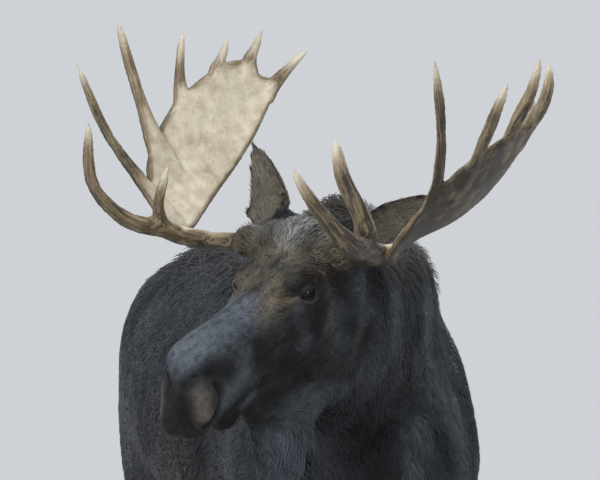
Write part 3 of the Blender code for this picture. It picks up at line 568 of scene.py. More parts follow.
# The hair's markings, on skin and coat alike: routes over both sides of the head, as above, with their
# width and how strongly they show.
MARKINGS = {
    "gold": (
        (((150, 45, -18), (205, 60, -40)), 32, 0.80),
        (((215, 66, -58), (235, 68, -75)), 16, 0.50),
        (((45, 106, -45), (42, 108, -85), (62, 112, -125), (85, 110, -150)), 12, 0.50),
        (((-10, 105, -5), (26, 119, 10), (55, 108, -8)), 26, 0.95),
        (((60, 30, 20), (50, 60, 22), (30, 88, 30)), 26, 0.60),
    ),
    # Blue-grey, part grey hair and part painted sheen where the sky lights the muzzle top and cheeks.
    "frost": (
        (((230, 30, -30), (300, 30, -36), (370, 20, -50), (430, 10, -72)), 52, 1.0),
        (((320, 76, -150), (375, 72, -158), (396, 68, -178)), 28, 0.85),
        (((285, 45, -212), (320, 42, -226)), 11, 0.70),
        (((20, 50, -310), (120, 40, -312), (210, 30, -300)), 30, 0.75),
        (((165, 98, -60), (140, 106, -110), (150, 100, -150)), 18, 0.45),
        (((30, 110, -130), (60, 113, -200)), 28, 0.30),
        (((-45, 115, -100), (-40, 110, -160)), 34, 0.45),
        (((290, 74, -100), (330, 70, -112)), 22, 0.50),
    ),
    "silver": (
        (((-17, 11, 50), (27, 0, 33)), 38, 0.75),
        (((-10, 70, 45), (16, 88, 38)), 26, 0.60),
    ),
    "dark": (
        (((94, 108, -80), (106, 104, -105), (112, 102, -118)), 26, 1.0),
        (((112, 115, -47), (108, 115, -55)), 32, 0.80),
        (((152, 107, -65), (150, 100, -40)), 13, 0.80),
        (((255, 74, -100), (268, 72, -130)), 20, 0.90),
        # Painted shade in the hollow over the nostril.
        (NOSTRIL_HOLLOW, 21, 1.0),
        (((490, 20, -110), (500, 26, -140), (506, 30, -175)), 20, 0.80),
        # Painted shadow under the jaw.
        (((50, 90, -262), (159, 70, -246), (250, 52, -232)), 30, 1.0),
        (((340, 38, -240), (370, 32, -250)), 16, 1.0),
        (((190, 80, -185), (250, 68, -180)), 24, 0.70),
        (((150, 91, -18), (170, 88, -34)), 13, 0.80),
        # Painted shadow under the burr, behind the eye.
        (((50, 135, -28), (20, 130, -50)), 16, 0.70),
        (SLIT, 12, 1.15),
        (MOUTH, 10, 1.0),
    ),
    "pad": (
        (PAD, 26, 1.0),
        (((446, 80, -194), (470, 72, -206), (492, 64, -210)), 6, 0.80),
    ),
    "tan": (
        (((62, 0, 24), (80, 50, 12), (130, 20, -4)), 34, 0.55),
    ),
}

# Blue-grey hair on the body, at the throat, neck, shoulder and rump, part grey hair and part painted
# sheen, and painted shade behind the jaw, in the folds of the neck and chest and on the lower flank.
# Before them, the heights between which the crest and the stockings come in, the tints of the ears and
# the edge of the lids.
CREST_Z = (1.60, 1.76)
BROWN_LEG_Z = (-0.95, -0.45)
STOCKING_Z = (-0.85, -0.45)
STOCKING = 0.42
EAR_TINTS = (("tan", 0.80), ("silver", 0.35), ("gold", 0.60))
LID_EDGE = (0.0027, 0.0044)
LID_TINT = 0.55
# Blue-grey at the throat, neck, shoulder and rump: part grey hair and part painted sheen.
BODY_GREY_AND_SHEEN = (
    (((-100, -918, 1307), (-20, -840, 1120)), 95, 0.75),
    (((318, -505, 1601), (345, -520, 1450), (390, -490, 1300), (360, -500, 1150)), 75, 0.62),
    (((173, -785, 1620), (192, -758, 1519)), 60, 0.50),
    (((61, -729, 1318), (35, -654, 1200)), 50, 0.55),
    (((270, -620, 1320), (260, -610, 1200)), 45, 0.50),
    (((42, 669, 1572), (-28, 805, 1470)), 120, 0.30),
)
# Painted shade: along these routes the body's hair is made dark and loses its blue-grey.
BODY_PAINTED_SHADE = (
    (((120, -730, 1330), (160, -640, 1180), (140, -620, 1000)), 70),
    (((175, -668, 1319), (190, -640, 1220)), 55),
    (((282, -596, 1540), (240, -650, 1500)), 40),
    (((259, -636, 1447), (227, -672, 1404)), 35),
    (((-73, 277, 1226), (-70, 200, 1000)), 150),
    (((-73, 277, 1200), (-70, 700, 1120)), 170),
)


def ripples(points, size, seed):
    """A smooth uneven pattern between about -1 and 1 whose waves are about size long."""
    waves = np.random.default_rng(seed)
    total = np.zeros(len(points))
    for _ in range(9):
        way = waves.normal(size=3)
        way *= 2 * math.pi / size / np.linalg.norm(way) * waves.uniform(0.6, 1.5)
        total += np.sin(points @ way + waves.uniform(0, 2 * math.pi))
    return total / 3.2


def eye_gaps(points):
    """How far each point is from the middle of the nearer eye."""
    return np.minimum(*[spans(points - np.array(centre[:])) for centre in ball_centre.values()])


def markings(points, normals, shares):
    """How strongly each hair colour, painted shade and sheen included, shows at each place on the skin.
    """
    marks = {}
    mottled = ripples(points, 0.022, 17)
    for name, patches in MARKINGS.items():
        mark = np.zeros(len(points))
        for route, width, strength in patches:
            mark = np.maximum(mark, strength * near_route(layout, route, width))
        marks[name] = np.clip(mark * (0.95 + 0.30 * mottled), 0, 1)
    patchy = ripples(points, 0.09, 3)
    body = shares["trunk"] + shares["neck"]
    face = shares["head"] + shares["jaw"]

    def add(name, mark):
        marks[name] = np.maximum(marks[name], mark)

    crest = ramp(points[:, 2] + 0.03 * patchy, *CREST_Z) * body
    brown = np.clip(crest + 0.5 * shares["leg"] * ramp(-points[:, 2], *BROWN_LEG_Z), 0, 1)
    marks["brown"] = np.clip(brown + 0.40 * face * ramp(mottled, -0.4, 0.9), 0, 1)
    # Blue-grey over the body under the crest, part grey hair and part painted sheen.
    body_grey_and_sheen = body * (1 - crest) * (0.12 + 0.12 * ramp(patchy, -0.9, 1.2))
    marks["frost"] = np.clip(marks["frost"] + body_grey_and_sheen, 0, 1)
    for route, width, strength in BODY_GREY_AND_SHEEN:
        mark = strength * near_route(points, route, width) * (0.9 + 0.3 * mottled)
        add("frost", np.clip(mark, 0, 1) * (1 - face))
    # Painted shade: the blue-grey is taken away and dark is laid on along each route.
    for route, width in BODY_PAINTED_SHADE:
        shade = near_route(points, route, width) * (1 - face)
        marks["frost"] = marks["frost"] * (1 - 0.85 * shade)
        add("dark", 0.92 * shade)
    # Painted shade: the face made darker where it turns downwards.
    add("dark", 0.50 * face * ramp(-normals[:, 2], 0.15, 0.75))
    add("tan", STOCKING * shares["leg"] * ramp(-points[:, 2] + 0.08 * patchy, *STOCKING_Z))
    lid = 1 - ramp(eye_gaps(points), EYE_RADIUS + LID_EDGE[0], EYE_RADIUS + LID_EDGE[1])
    lid *= 0.25 + 0.75 * ramp(-in_head(points)[:, 2], EYE_BELOW, EYE_BELOW + 0.012)
    add("pad", LID_TINT * lid)
    marks["dark"] *= 1 - 0.7 * lid
    ear_height = ramp(spans(points - brow_point), 0.10, 0.20)
    speckled = 0.45 + 0.55 * ramp(ripples(points, 0.014, 18), -0.5, 0.5)
    for name, strength in EAR_TINTS:
        add(name, strength * shares["ear"] * speckled * ear_height)
    add("dark", 0.75 * shares["ear"] * (1 - ear_height))
    return marks


def named_values(thing, values):
    """Stores one number for each vertex under each name."""
    for name, numbers in values.items():
        layer = thing.data.attributes.new(name, "FLOAT", "POINT")
        layer.data.foreach_set("value", np.asarray(numbers, dtype=np.float32))


class Wire:
    """What runs between the nodes of a finish. Sums and products of wires add their Math nodes."""

    def __init__(self, tree, socket=None):
        self.tree = tree
        self.socket = socket

    def node(self, kind, settings, inputs, output=0):
        made = self.tree.nodes.new(kind)
        for name, value in settings.items():
            if name == "stops":
                ends = made.color_ramp.elements
                while len(ends) < len(value):
                    ends.new(0.5)
                for end, (position, grey) in zip(ends, value):
                    end.position = position
                    end.color = (grey, grey, grey, 1)
            else:
                setattr(made, name, value)
        for name, value in inputs.items():
            if isinstance(value, Wire):
                self.tree.links.new(value.socket, made.inputs[name])
            else:
                made.inputs[name].default_value = value
        return Wire(self.tree, made.outputs[output])

    def into(self, socket, value):
        """Links a value to a socket of the finish's shader."""
        shader = self.tree.nodes["Principled BSDF"]
        self.tree.links.new(value.socket, shader.inputs[socket])

    def maths(self, operation, first, second):
        return self.node("ShaderNodeMath", {"operation": operation}, {0: first, 1: second})

    def __add__(self, other):
        return self.maths("ADD", self, other)

    def __radd__(self, other):
        return self.maths("ADD", other, self)

    def __sub__(self, other):
        return self.maths("SUBTRACT", self, other)

    def __rsub__(self, other):
        return self.maths("SUBTRACT", other, self)

    def __mul__(self, other):
        return self.maths("MULTIPLY", self, other)

    def __rmul__(self, other):
        return self.maths("MULTIPLY", other, self)


def finish(name, roughness, **constants):
    """A new material and a wire to start from."""
    material = bpy.data.materials.new(name)
    material.use_nodes = True
    shader = material.node_tree.nodes["Principled BSDF"]
    shader.inputs["Roughness"].default_value = roughness
    for socket, value in constants.items():
        shader.inputs[socket.replace("_", " ")].default_value = value
    return material, Wire(material.node_tree)


def value_of(wire, name):
    return wire.node("ShaderNodeAttribute", {"attribute_name": name}, {}, output=2)


def noise(wire, scale, detail, stretch=(1, 1, 1)):
    place = wire.node("ShaderNodeTexCoord", {}, {}, output=3)
    spread = wire.node("ShaderNodeMapping", {}, {"Vector": place, "Scale": stretch})
    return wire.node("ShaderNodeTexNoise", {}, {"Vector": spread, "Scale": scale, "Detail": detail})


def mixed(wire, share, first, second):
    """The first colour where share is 0 and the second where it is 1."""
    return wire.node("ShaderNodeMix", {"data_type": "RGBA"}, {0: share, 6: first, 7: second}, output=2)


def stepped(wire, value, *stops):
    """A ramp of greys between the given positions."""
    return wire.node("ShaderNodeValToRGB", {"stops": stops}, {"Fac": value})


def bumped(wire, height, strength, distance):
    made = wire.node("ShaderNodeBump", {}, {"Height": height, "Strength": strength, "Distance": distance})
    wire.into("Normal", made)


def scaled(wire, colour, share):
    return wire.node("ShaderNodeVectorMath", {"operation": "SCALE"}, {"Vector": colour, "Scale": share})


HAIR = {
    "base": (0.0080, 0.0080, 0.0090, 1),
    "brown": (0.046, 0.040, 0.034, 1),
    "gold": (0.145, 0.115, 0.078, 1),
    # Blue-grey, for grey hair and for painted sheen.
    "frost": (0.118, 0.136, 0.160, 1),
    "silver": (0.330, 0.322, 0.305, 1),
    "pad": (0.120, 0.102, 0.088, 1),
    "tan": (0.175, 0.158, 0.122, 1),
    # Near black, for dark hair and for painted shade.
    "dark": (0.0030, 0.0030, 0.0034, 1),
}


def hair_colour(wire):
    """The coat's colours where its markings say."""
    colour = mixed(wire, value_of(wire, "brown"), HAIR["base"], HAIR["brown"])
    for name in ("frost", "silver", "tan", "gold", "pad", "dark"):
        colour = mixed(wire, value_of(wire, name), colour, HAIR[name])
    return colour


def given_to(thing, material, slot, *nodes):
    """The piece's finish, smooth shading, and its place on the frame."""
    thing.data.materials.clear()
    thing.data.materials.append(material)
    thing.data.polygons.foreach_set("use_smooth", [True] * len(thing.data.polygons))
    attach(thing, "root")
    if nodes:
        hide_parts(*nodes)


part = shares_of(skin.data, 8)
named_values(skin, markings(points_of(skin.data), normals_of(skin.data), part))
hide, wire = finish("hide", 0.6, Specular_IOR_Level=0.2)
strands = noise(wire, 220, 4, (1, 1, 0.25))
wire.into("Base Color", scaled(wire, hair_colour(wire), 0.45 + 0.55 * strands))
bumped(wire, strands, 0.5, 0.002)
given_to(skin, hide, "coat", *FLESH)

# --- Eyes ---------------------------------------------------------------------------------------
# Large dark eyeballs with a clear bulge in front, a brown iris and a long level pupil. They sit in the
# lids, turned a little forward.
IRIS = 0.0150
CORNEA = 0.0016
PUPIL_LEVEL = 0.35
PUPIL_STEEP = 1.6
PUPIL_BLACK = (0.0010, 0.0010, 0.0014, 1)
IRIS_BROWN = (0.0070, 0.0042, 0.0030, 1)
EYE_RIM = (0.010, 0.007, 0.006, 1)

glass, wire = finish("eyeball", 0.05, IOR=1.34, Specular_IOR_Level=0.25)
across = value_of(wire, "across")
above = value_of(wire, "above")
pupil = wire.maths("SQRT", across * across * PUPIL_LEVEL + above * above * PUPIL_STEEP, 0)
iris = wire.maths("SQRT", across * across + above * above, 0)
inner = mixed(wire, stepped(wire, pupil, (0.40, 0.0), (0.52, 1.0)), PUPIL_BLACK, IRIS_BROWN)
wire.into("Base Color", mixed(wire, stepped(wire, iris, (0.74, 0.0), (0.86, 1.0)), inner, EYE_RIM))

for side in ("left", "right"):
    outward = eye_way[side]
    bpy.ops.object.select_all(action="DESELECT")
    bpy.ops.mesh.primitive_uv_sphere_add(segments=48, ring_count=32, radius=EYE_RADIUS)
    ball = bpy.context.active_object
    ball.name = ball.data.name = f"eyeball_{side}"
    ball.rotation_euler = outward.to_track_quat("Z", "Y").to_euler()
    ball.location = ball_centre[side]
    bpy.ops.object.transform_apply(location=True, rotation=True, scale=True)
    centre = np.array(ball_centre[side][:])
    away = points_of(ball.data) - centre
    front = away @ np.array(outward[:])
    level_way = (head_ahead - outward * head_ahead.dot(outward)).normalized()
    steep_way = outward.cross(level_way)
    across = away @ np.array(level_way[:]) / IRIS
    above = away @ np.array(steep_way[:]) / IRIS
    bulge = CORNEA * np.clip(1 - across**2 - above**2, 0, 1) * (front > 0)
    set_points(ball.data, centre + away * (1 + bulge / EYE_RADIUS)[:, None])
    named_values(ball, {"across": across + FAR * (front < 0), "above": above})
    given_to(ball, glass, "eye", f"eye_{side}")

# --- Antlers ------------------------------------------------------------------------------------
# Solid bone: a rough burr, a short beam, a fork of brow tines and a broad palm edged with points. The
# grain runs from the burr to the tips, stained brown, with pale points and a pale front to the palm.
ANTLER_VOXEL = 0.0033
ANTLER_OVERLAP = 0.0006
PALM_FINING = {"left": 0, "right": 40}
TINE_EXTRA = {"left": 0.0040, "right": 0.0022}
POINT_REACH = 0.016
POINT_BACK = 0.025
POINT_NEAR = 0.045
GRAIN_HEIGHT = 0.0003
PITTING = 0.0003
SHORTEST_POINT = 0.2
BURR_REACH = 0.030
BURR_HEIGHT = 0.0022


def travel(points, edges, starts):
    """The shortest way over the mesh from the nearest of some vertices."""
    span = spans(points[edges[:, 0]] - points[edges[:, 1]])
    table = [[] for _ in points]
    for (a, b), length in zip(edges.tolist(), span.tolist()):
        table[a].append((b, length))
        table[b].append((a, length))
    reached = [FAR] * len(points)
    todo = []
    for start in starts:
        reached[start] = 0.0
        todo.append((0.0, int(start)))
    while todo:
        gone, here = heapq.heappop(todo)
        if gone > reached[here]:
            continue
        for there, length in table[here]:
            if gone + length < reached[there]:
                reached[there] = gone + length
                heapq.heappush(todo, (gone + length, there))
    return np.array(reached)


def grain(points, edges, way, rounds, seed):
    """Streaks along a direction field: random numbers averaged along it."""
    span = points[edges[:, 1]] - points[edges[:, 0]]
    span /= spans(span)[:, None]
    straight = np.abs(np.einsum("ij,ij->i", span, way[edges[:, 0]] + way[edges[:, 1]]) / 2) ** 8 + 0.002
    values = np.random.default_rng(seed).normal(size=len(points))
    count = len(points)
    for _ in range(rounds):
        total = np.bincount(edges[:, 0], weights=straight * values[edges[:, 1]], minlength=count)
        total += np.bincount(edges[:, 1], weights=straight * values[edges[:, 0]], minlength=count)
        weight = np.bincount(edges.ravel(), weights=np.repeat(straight, 2), minlength=count)
        values = 0.4 * values + 0.6 * total / weight
    return values / values.std()


def slope_of(values, points, edges):
    """The direction in which values grow fastest, at each vertex."""
    span = points[edges[:, 1]] - points[edges[:, 0]]
    rise = (values[edges[:, 1]] - values[edges[:, 0]]) / np.maximum((span**2).sum(axis=1), 1e-12)
    step = span * rise[:, None]
    count = len(points)
    total = np.array([
        np.bincount(edges.ravel(), weights=np.repeat(step[:, i], 2), minlength=count) for i in range(3)
    ]).T
    return unit(total)


def fined(points, edges, rounds, share):
    """Smoothed without shrinking: each round draws the points in and lets them out again."""
    for _ in range(rounds):
        points = eased(points, edges, 1, 0.55 * share)
        points = eased(points, edges, 1, -0.56 * share)
    return points


# Bends of the left antler and where it is thicker, to the right of and above the brow: where, how far
# they reach, and the shift or the extra thickness.
BENDS = (
    ((0.252, -0.015), 0.100, (-0.0066, 0.031)),
    ((0.124, 0.066), 0.070, (0.026, 0.000)),
)
THICKENED = (((0.120, 0.011), 0.045, 0.009), ((0.230, -0.010), 0.050, 0.003))


def bent(points, normals):
    across = (points - brow_point) @ VIEW_RIGHT
    above = points[:, 2] - brow_point[2]

    def share_of(right, up, reach):
        return np.exp(-(((across - right) ** 2 + (above - up) ** 2) / reach**2))[:, None]

    for where, reach, (shift_right, shift_up) in BENDS:
        shift = VIEW_RIGHT * shift_right + np.array([0, 0, shift_up])
        points = points + share_of(*where, reach) * shift
    for where, reach, extra in THICKENED:
        points = points + share_of(*where, reach) * normals * extra
    return points


# The streaks are noise stretched along the antler: its place in it is how far a point lies from the
# middle of the branch and how far it is from the burr.
STREAKS_ASIDE = 640
STREAKS_ALONG = 9
BLOTCHES = 0.10
FLECKS = 0.26
STREAKS = 0.46
DARK_STAIN = (0.026, 0.019, 0.010, 1)
BROWN_BONE = (0.230, 0.170, 0.098, 1)
PALE_BONE = (0.66, 0.585, 0.45, 1)

bone, wire = finish("antler_bone", 0.55, Specular_IOR_Level=0.4)
pale = value_of(wire, "pale")
streaky = value_of(wire, "streaky")
aside = wire.node("ShaderNodeAttribute", {"attribute_name": "aside"}, {}, output=1)
run = value_of(wire, "run")
streak = wire.node("ShaderNodeTexNoise", {"noise_dimensions": "4D"}, {
    "Vector": scaled(wire, aside, STREAKS_ASIDE), "W": run * STREAKS_ALONG, "Scale": 1.0, "Detail": 3
})
streak = stepped(wire, streak, (0.32, 0.0), (0.68, 1.0))
pores = noise(wire, 260, 3)
blotch = stepped(wire, noise(wire, 14, 5), (0.36, 0.0), (0.66, 1.0))
flecks = stepped(wire, noise(wire, 42, 6), (0.36, 0.0), (0.64, 1.0))
brightness = pale + BLOTCHES * (blotch - 0.5) + FLECKS * (flecks - 0.5) * (1 - streaky)
brightness = brightness + STREAKS * (streak - 0.5) * streaky
lower = wire.node("ShaderNodeClamp", {}, {"Value": brightness * 2.5})
upper = wire.node("ShaderNodeClamp", {}, {"Value": brightness * 1.67 - 0.67})
colour = mixed(wire, upper, mixed(wire, lower, DARK_STAIN, BROWN_BONE), PALE_BONE)
wire.into("Base Color", scaled(wire, colour, stepped(wire, pores, (0.26, 0.62), (0.40, 1.0))))
bumped(wire, pores * 0.4 + noise(wire, 70, 3) * 0.5 + streak * streaky * 0.8, 0.6, 0.0015)

for side, sign in (("left", 1), ("right", -1)):
    nodes = [f"antler_{side}_{piece}" for piece in ("beam", "brow", "palm")]
    antler = fused_copy(f"antler_{side}", nodes, ANTLER_VOXEL, ANTLER_OVERLAP)
    links = edges_of(antler.data)
    points = fined(points_of(antler.data), links, 9, 1)
    points = eased(points, links, 3, 0.4)
    plate = eased((nearest_node(points, nodes) == 2).astype(float), links, 8, 0.5)
    points = fined(points, links, PALM_FINING[side], ramp(plate, 0.4, 0.9)[:, None])
    seat = brow_point + np.array(ANTLER_SEAT) * [1, sign, 1] @ head_axes
    near_burr = spans(points - seat)
    from_burr = travel(points, links, np.argsort(near_burr)[:40])
    ends = from_burr.copy()
    for _ in range(4):
        highest = ends.copy()
        np.maximum.at(highest, links[:, 0], ends[links[:, 1]])
        np.maximum.at(highest, links[:, 1], ends[links[:, 0]])
        ends = highest
    tips = np.nonzero((from_burr >= ends - 1e-9) & (from_burr > SHORTEST_POINT))[0]
    from_tip = travel(points, links, tips)

    # The points, rounded off by the fusing, are drawn out to their full length.
    solid = np.concatenate([points_of(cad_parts[node].data) for node in nodes])
    for end in tips:
        gap = spans(points - points[end])
        back = points[(from_tip > POINT_BACK) & (gap < POINT_NEAR)].mean(axis=0)
        along = (points[end] - back) / np.linalg.norm(points[end] - back)
        close = solid[spans(solid - points[end]) < POINT_NEAR]
        pull = close[(close @ along).argmax()] - points[end]
        points = points + fading(gap, POINT_REACH)[:, None] * pull * 0.95
    set_points(antler.data, points)
    stout = ramp(from_tip, 0.0, 0.030) * (1 - ramp(from_tip, 0.10, 0.22)) * ramp(from_burr, 0.28, 0.40)
    points = points + normals_of(antler.data) * (stout * TINE_EXTRA[side])[:, None]
    if side == "left":
        points = bent(points, normals_of(antler.data))
        points = eased(points, links, 6, 0.3)
    set_points(antler.data, points)
    normals = normals_of(antler.data)

    # Its grain, and how pale it is: most on the front of the palm, then at the points, on sharp edges and
    # along the top of the stem, which is painted light with painted shade under it, and least round the
    # burr.
    way = unit(eased(slope_of(from_burr, points, links), links, 12, 0.6))
    streaks = grain(points, links, way, 130, 11)
    fine = grain(points, links, way, 30, 12)
    curved = -((neighbour_mean(points, links) - points) * normals).sum(axis=1)
    curved = eased(curved, links, 6, 0.5) / ANTLER_VOXEL
    facing = normals @ (-0.80 * sign * head_axes[1] + 0.35 * head_axes[0] + 0.45 * head_axes[2])
    stem = 1 - ramp(from_burr, 0.18, 0.42)
    flatness = spans(eased(normals, links, 110, 0.6))
    palm_share = ramp(flatness, 0.45, 0.80) * ramp(from_tip, 0.04, 0.10) * ramp(plate, 0.2, 0.9)
    pale_and_lit = 0.02 + 0.80 * ramp(facing, -0.15, 0.55) * palm_share
    pale_and_lit += 0.20 * (1 - palm_share) * ramp(facing, -0.2, 0.7)
    # Painted light on the top of the stem and painted shade on its underside.
    pale_and_lit += (0.38 * ramp(normals[:, 2], 0.55, 1.0) - 0.10 * ramp(-normals[:, 2], 0.0, 0.7)) * stem
    pale_and_lit += 0.66 * (1 - ramp(from_tip, 0.005, 0.125)) ** 2 + 0.40 * ramp(curved, 0.10, 0.30)
    pale_and_lit += 0.11 * (1 - ramp(from_tip, 0.12, 0.30))
    pale_and_lit += 0.05 * ripples(points, 0.05, 5)
    pale_and_lit *= 0.25 + 0.75 * ramp(near_burr, 0.025, 0.075)
    pale_and_lit = eased(pale_and_lit, links, 5, 0.5)

    # Low ridges along the grain, pitting and the knobs of the burr, all dying away at the points.
    streaks, fine = eased(streaks, links, 2, 0.5), eased(fine, links, 1, 0.5)
    smoothness = 1 - 0.70 * palm_share * ramp(from_tip, 0.10, 0.22)
    height = GRAIN_HEIGHT * (0.8 * streaks + 0.4 * fine) * smoothness
    height += PITTING * ripples(points, 0.012, 8)
    height += fading(near_burr, BURR_REACH) * BURR_HEIGHT * ripples(points, 0.011, 9)
    height *= ramp(from_tip, 0.0, 0.05)
    set_points(antler.data, points + normals * height[:, None])
    named_values(antler, {"pale": pale_and_lit, "streaky": 1 - 0.72 * palm_share, "run": from_burr})
    layer = antler.data.attributes.new("aside", "FLOAT_VECTOR", "POINT")
    layer.data.foreach_set("vector", (points - eased(points, links, 70, 0.6)).astype(np.float32).ravel())
    given_to(antler, bone, "antler", *nodes)

# --- Hooves -------------------------------------------------------------------------------------
# Cloven hooves and small dewclaws of dull dark horn, with growth rings and scuffed, paler edges. Each
# is rounded from its solid and keeps its flat sole on the floor.
HORN_VOXEL = 0.0026
HORN_OVERLAP = 0.0002
SOLE_FLAT = 0.0016
SOLE_WEAR = 0.03
DARK_HORN = (0.022, 0.018, 0.015, 1)
WORN_HORN = (0.13, 0.105, 0.08, 1)

horn, wire = finish("hoof_horn", 0.42, Specular_IOR_Level=0.45)
rings = wire.node("ShaderNodeTexWave", {"wave_type": "BANDS", "bands_direction": "Z"}, {
    "Vector": wire.node("ShaderNodeTexCoord", {}, {}, output=3), "Scale": 36, "Distortion": 3, "Detail": 3
}, output=1)
scuffs = noise(wire, 60, 5)
wear = wire.node("ShaderNodeClamp", {}, {"Value": value_of(wire, "wear") + 0.5 * (scuffs - 0.5)})
wire.into("Base Color", mixed(wire, wear, DARK_HORN, WORN_HORN))
wire.into("Roughness", 0.34 + 0.30 * scuffs)
bumped(wire, rings * 0.6 + scuffs * 0.4, 0.5, 0.002)

for node in sorted(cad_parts):
    if not node.startswith(("hoof", "dewclaw")):
        continue
    claw = fused_copy(f"{node}_horn", (node,), HORN_VOXEL, HORN_OVERLAP)
    links = edges_of(claw.data)
    points = eased(points_of(claw.data), links, 5, 0.5)
    if node.startswith("hoof"):
        points[:, 2] -= points[:, 2].min()
        points[:, 2] = np.where(points[:, 2] < SOLE_FLAT, 0.0, points[:, 2])
    set_points(claw.data, points)
    curved = -((neighbour_mean(points, links) - points) * normals_of(claw.data)).sum(axis=1)
    worn = ramp(eased(curved, links, 4, 0.5) / HORN_VOXEL, 0.03, 0.16)
    worn += 0.5 * ramp(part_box(node)[0].z + SOLE_WEAR - points[:, 2], 0, SOLE_WEAR)
    named_values(claw, {"wear": 0.10 + 0.7 * worn})
    given_to(claw, horn, "horn", node)

# --- Coat ---------------------------------------------------------------------------------------
# Winter hair in flat pointed locks that lie back over each other, from a few millimetres on the nose
# and feet to a shaggy crest on the hump, a curly poll and the long hair of the throat and bell.
COAT_SEED = 41


def flat_on(vectors, normals):
    return unit(vectors - (vectors * normals).sum(axis=1)[:, None] * normals)


part = shares_of(skin.data, 4)
links = edges_of(skin.data)
points = points_of(skin.data)
normals = unit(eased(normals_of(skin.data), links, 3, 0.5))
place = in_head(points)
patchy = ripples(points, 0.12, 21)

# Which way the hair lies: back and down over the head and body, down the chest and legs, outwards along
# the ears and up towards each burr.
LIE = {
    "neck": (0.10, 0.55, -0.80),
    "trunk": (0.0, 0.90, -0.42),
    "leg": (0.0, 0.18, -1.0),
    "bell": (0.05, 0.15, -1.0),
    "tail": (0.0, 0.1, -1.0),
}
CHEST_LIE = (0.0, -0.7, -1.0)
CHEST_Y = (0.30, 0.55)
TOWARDS_BURR = 2.2
BURR_NEAR = 0.060
ahead, up = head_axes[0], head_axes[2]
falling = 0.25 + 0.85 * (1 - ramp(place[:, 0:1], 0.00, 0.24)) * ramp(-place[:, 2:3], 0.00, 0.07)
lie = part["head"][:, None] * (-ahead - falling * up + 0.12 * np.sign(place[:, 1:2]) * head_axes[1])
lie += part["jaw"][:, None] * (-ahead)
for kind, way in LIE.items():
    lie += part[kind][:, None] * np.array(way)
chest = ramp(-points[:, 1], *CHEST_Y) * part["trunk"]
lie += chest[:, None] * np.array(CHEST_LIE)
for side in ("left", "right"):
    low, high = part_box(f"ear_{side}")
    corners = np.array([v.co[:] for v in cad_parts[f"ear_{side}"].data.vertices])
    gap = spans(corners - brow_point)
    out = corners[gap.argmax()] - corners[gap.argsort()[:12]].mean(axis=0)
    inside = ((points > np.array(low[:]) - 0.02) & (points < np.array(high[:]) + 0.02)).all(axis=1)
    lie += (part["ear"] * inside)[:, None] * out / np.linalg.norm(out)
for sign in (1, -1):
    seat = brow_point + np.array(ANTLER_SEAT) * [1, sign, 1] @ head_axes
    towards = seat - points
    span = spans(towards)[:, None]
    drawn = part["head"][:, None] * TOWARDS_BURR * fading(span, BURR_NEAR)
    lie += drawn * towards / np.maximum(span, 1e-4)
lie = flat_on(lie, normals)
for _ in range(14):
    lie = flat_on(eased(lie, links, 1, 0.6), normals)

# For each kind of flesh, the length of its hair, half the width of a lock, how far it stands out and how
# many locks there are to a square metre.
LOCKS = {
    "trunk": (0.046, 0.0020, 0.08, 22500),
    "neck": (0.040, 0.0014, 0.15, 62000),
    "head": (0.017, 0.0008, 0.11, 130000),
    "jaw": (0.018, 0.0009, 0.15, 100000),
    "bell": (0.058, 0.0015, 0.20, 60000),
    "tail": (0.034, 0.0016, 0.20, 40000),
    "ear": (0.014, 0.0007, 0.16, 120000),
    "leg": (0.024, 0.0019, 0.085, 17000),
}
length, half, stand, crowd = (sum(part[kind] * LOCKS[kind][i] for kind in part) for i in range(4))

# Where the long hair grows: the curly poll, the crest of the hump and the ruff round each antler.
POLL = ((35, 0, 30), (-30, 30, 30), (10, 85, 20), (40, 104, -5))
POLL_WIDTH = 52
POLL_SIDE = (-0.085, -0.045)
SHAG_Z = (1.56, 1.74)
SHAG_HALF = 0.24
RUFF_GAP = 0.034
RUFF_REACH = 0.018
RUFF_AHEAD = (-0.05, -0.01)
on_head = part["head"] > 0.3
poll = near_route(layout, POLL, POLL_WIDTH)
poll = poll * on_head * ramp(place[:, 1], *POLL_SIDE)
crest = ramp(points[:, 2] + 0.02 * patchy, *SHAG_Z) * (part["trunk"] + part["neck"])
crest *= fading(points[:, 0] - SPINE_X, SHAG_HALF)
seat_gap = spans(layout - ANTLER_SEAT)
ruff = fading(seat_gap - RUFF_GAP, RUFF_REACH) * on_head * ramp(place[:, 0], *RUFF_AHEAD)

# How the hair changes on the muzzle, the fore part of the body, the lower legs and just over the hooves:
# in length, in the width of its locks, in how far it stands out and in how crowded it is.
MUZZLE_AHEAD = (0.12, 0.34)
FORE_Y = (-0.10, 0.20)
FOOT_Z = (-0.70, -0.30)
OVER_HOOF_Z = (-0.140, -0.095)
for where, longer, wider, prouder, denser in (
    (ramp(place[:, 0], *MUZZLE_AHEAD) * (part["head"] + part["jaw"]), -0.50, -0.22, -0.35, 0.0),
    (ramp(-points[:, 1], *FORE_Y) * part["trunk"], -0.12, -0.15, 0.0, 0.55),
    (part["leg"] * ramp(-points[:, 2], *FOOT_Z), -0.35, 0.0, 0.0, 0.0),
    (part["leg"] * ramp(-points[:, 2], *OVER_HOOF_Z), 0.70, 0.0, 0.0, 0.90),
):
    length *= 1 + longer * where
    half *= 1 + wider * where
    stand *= 1 + prouder * where
    crowd *= 1 + denser * where

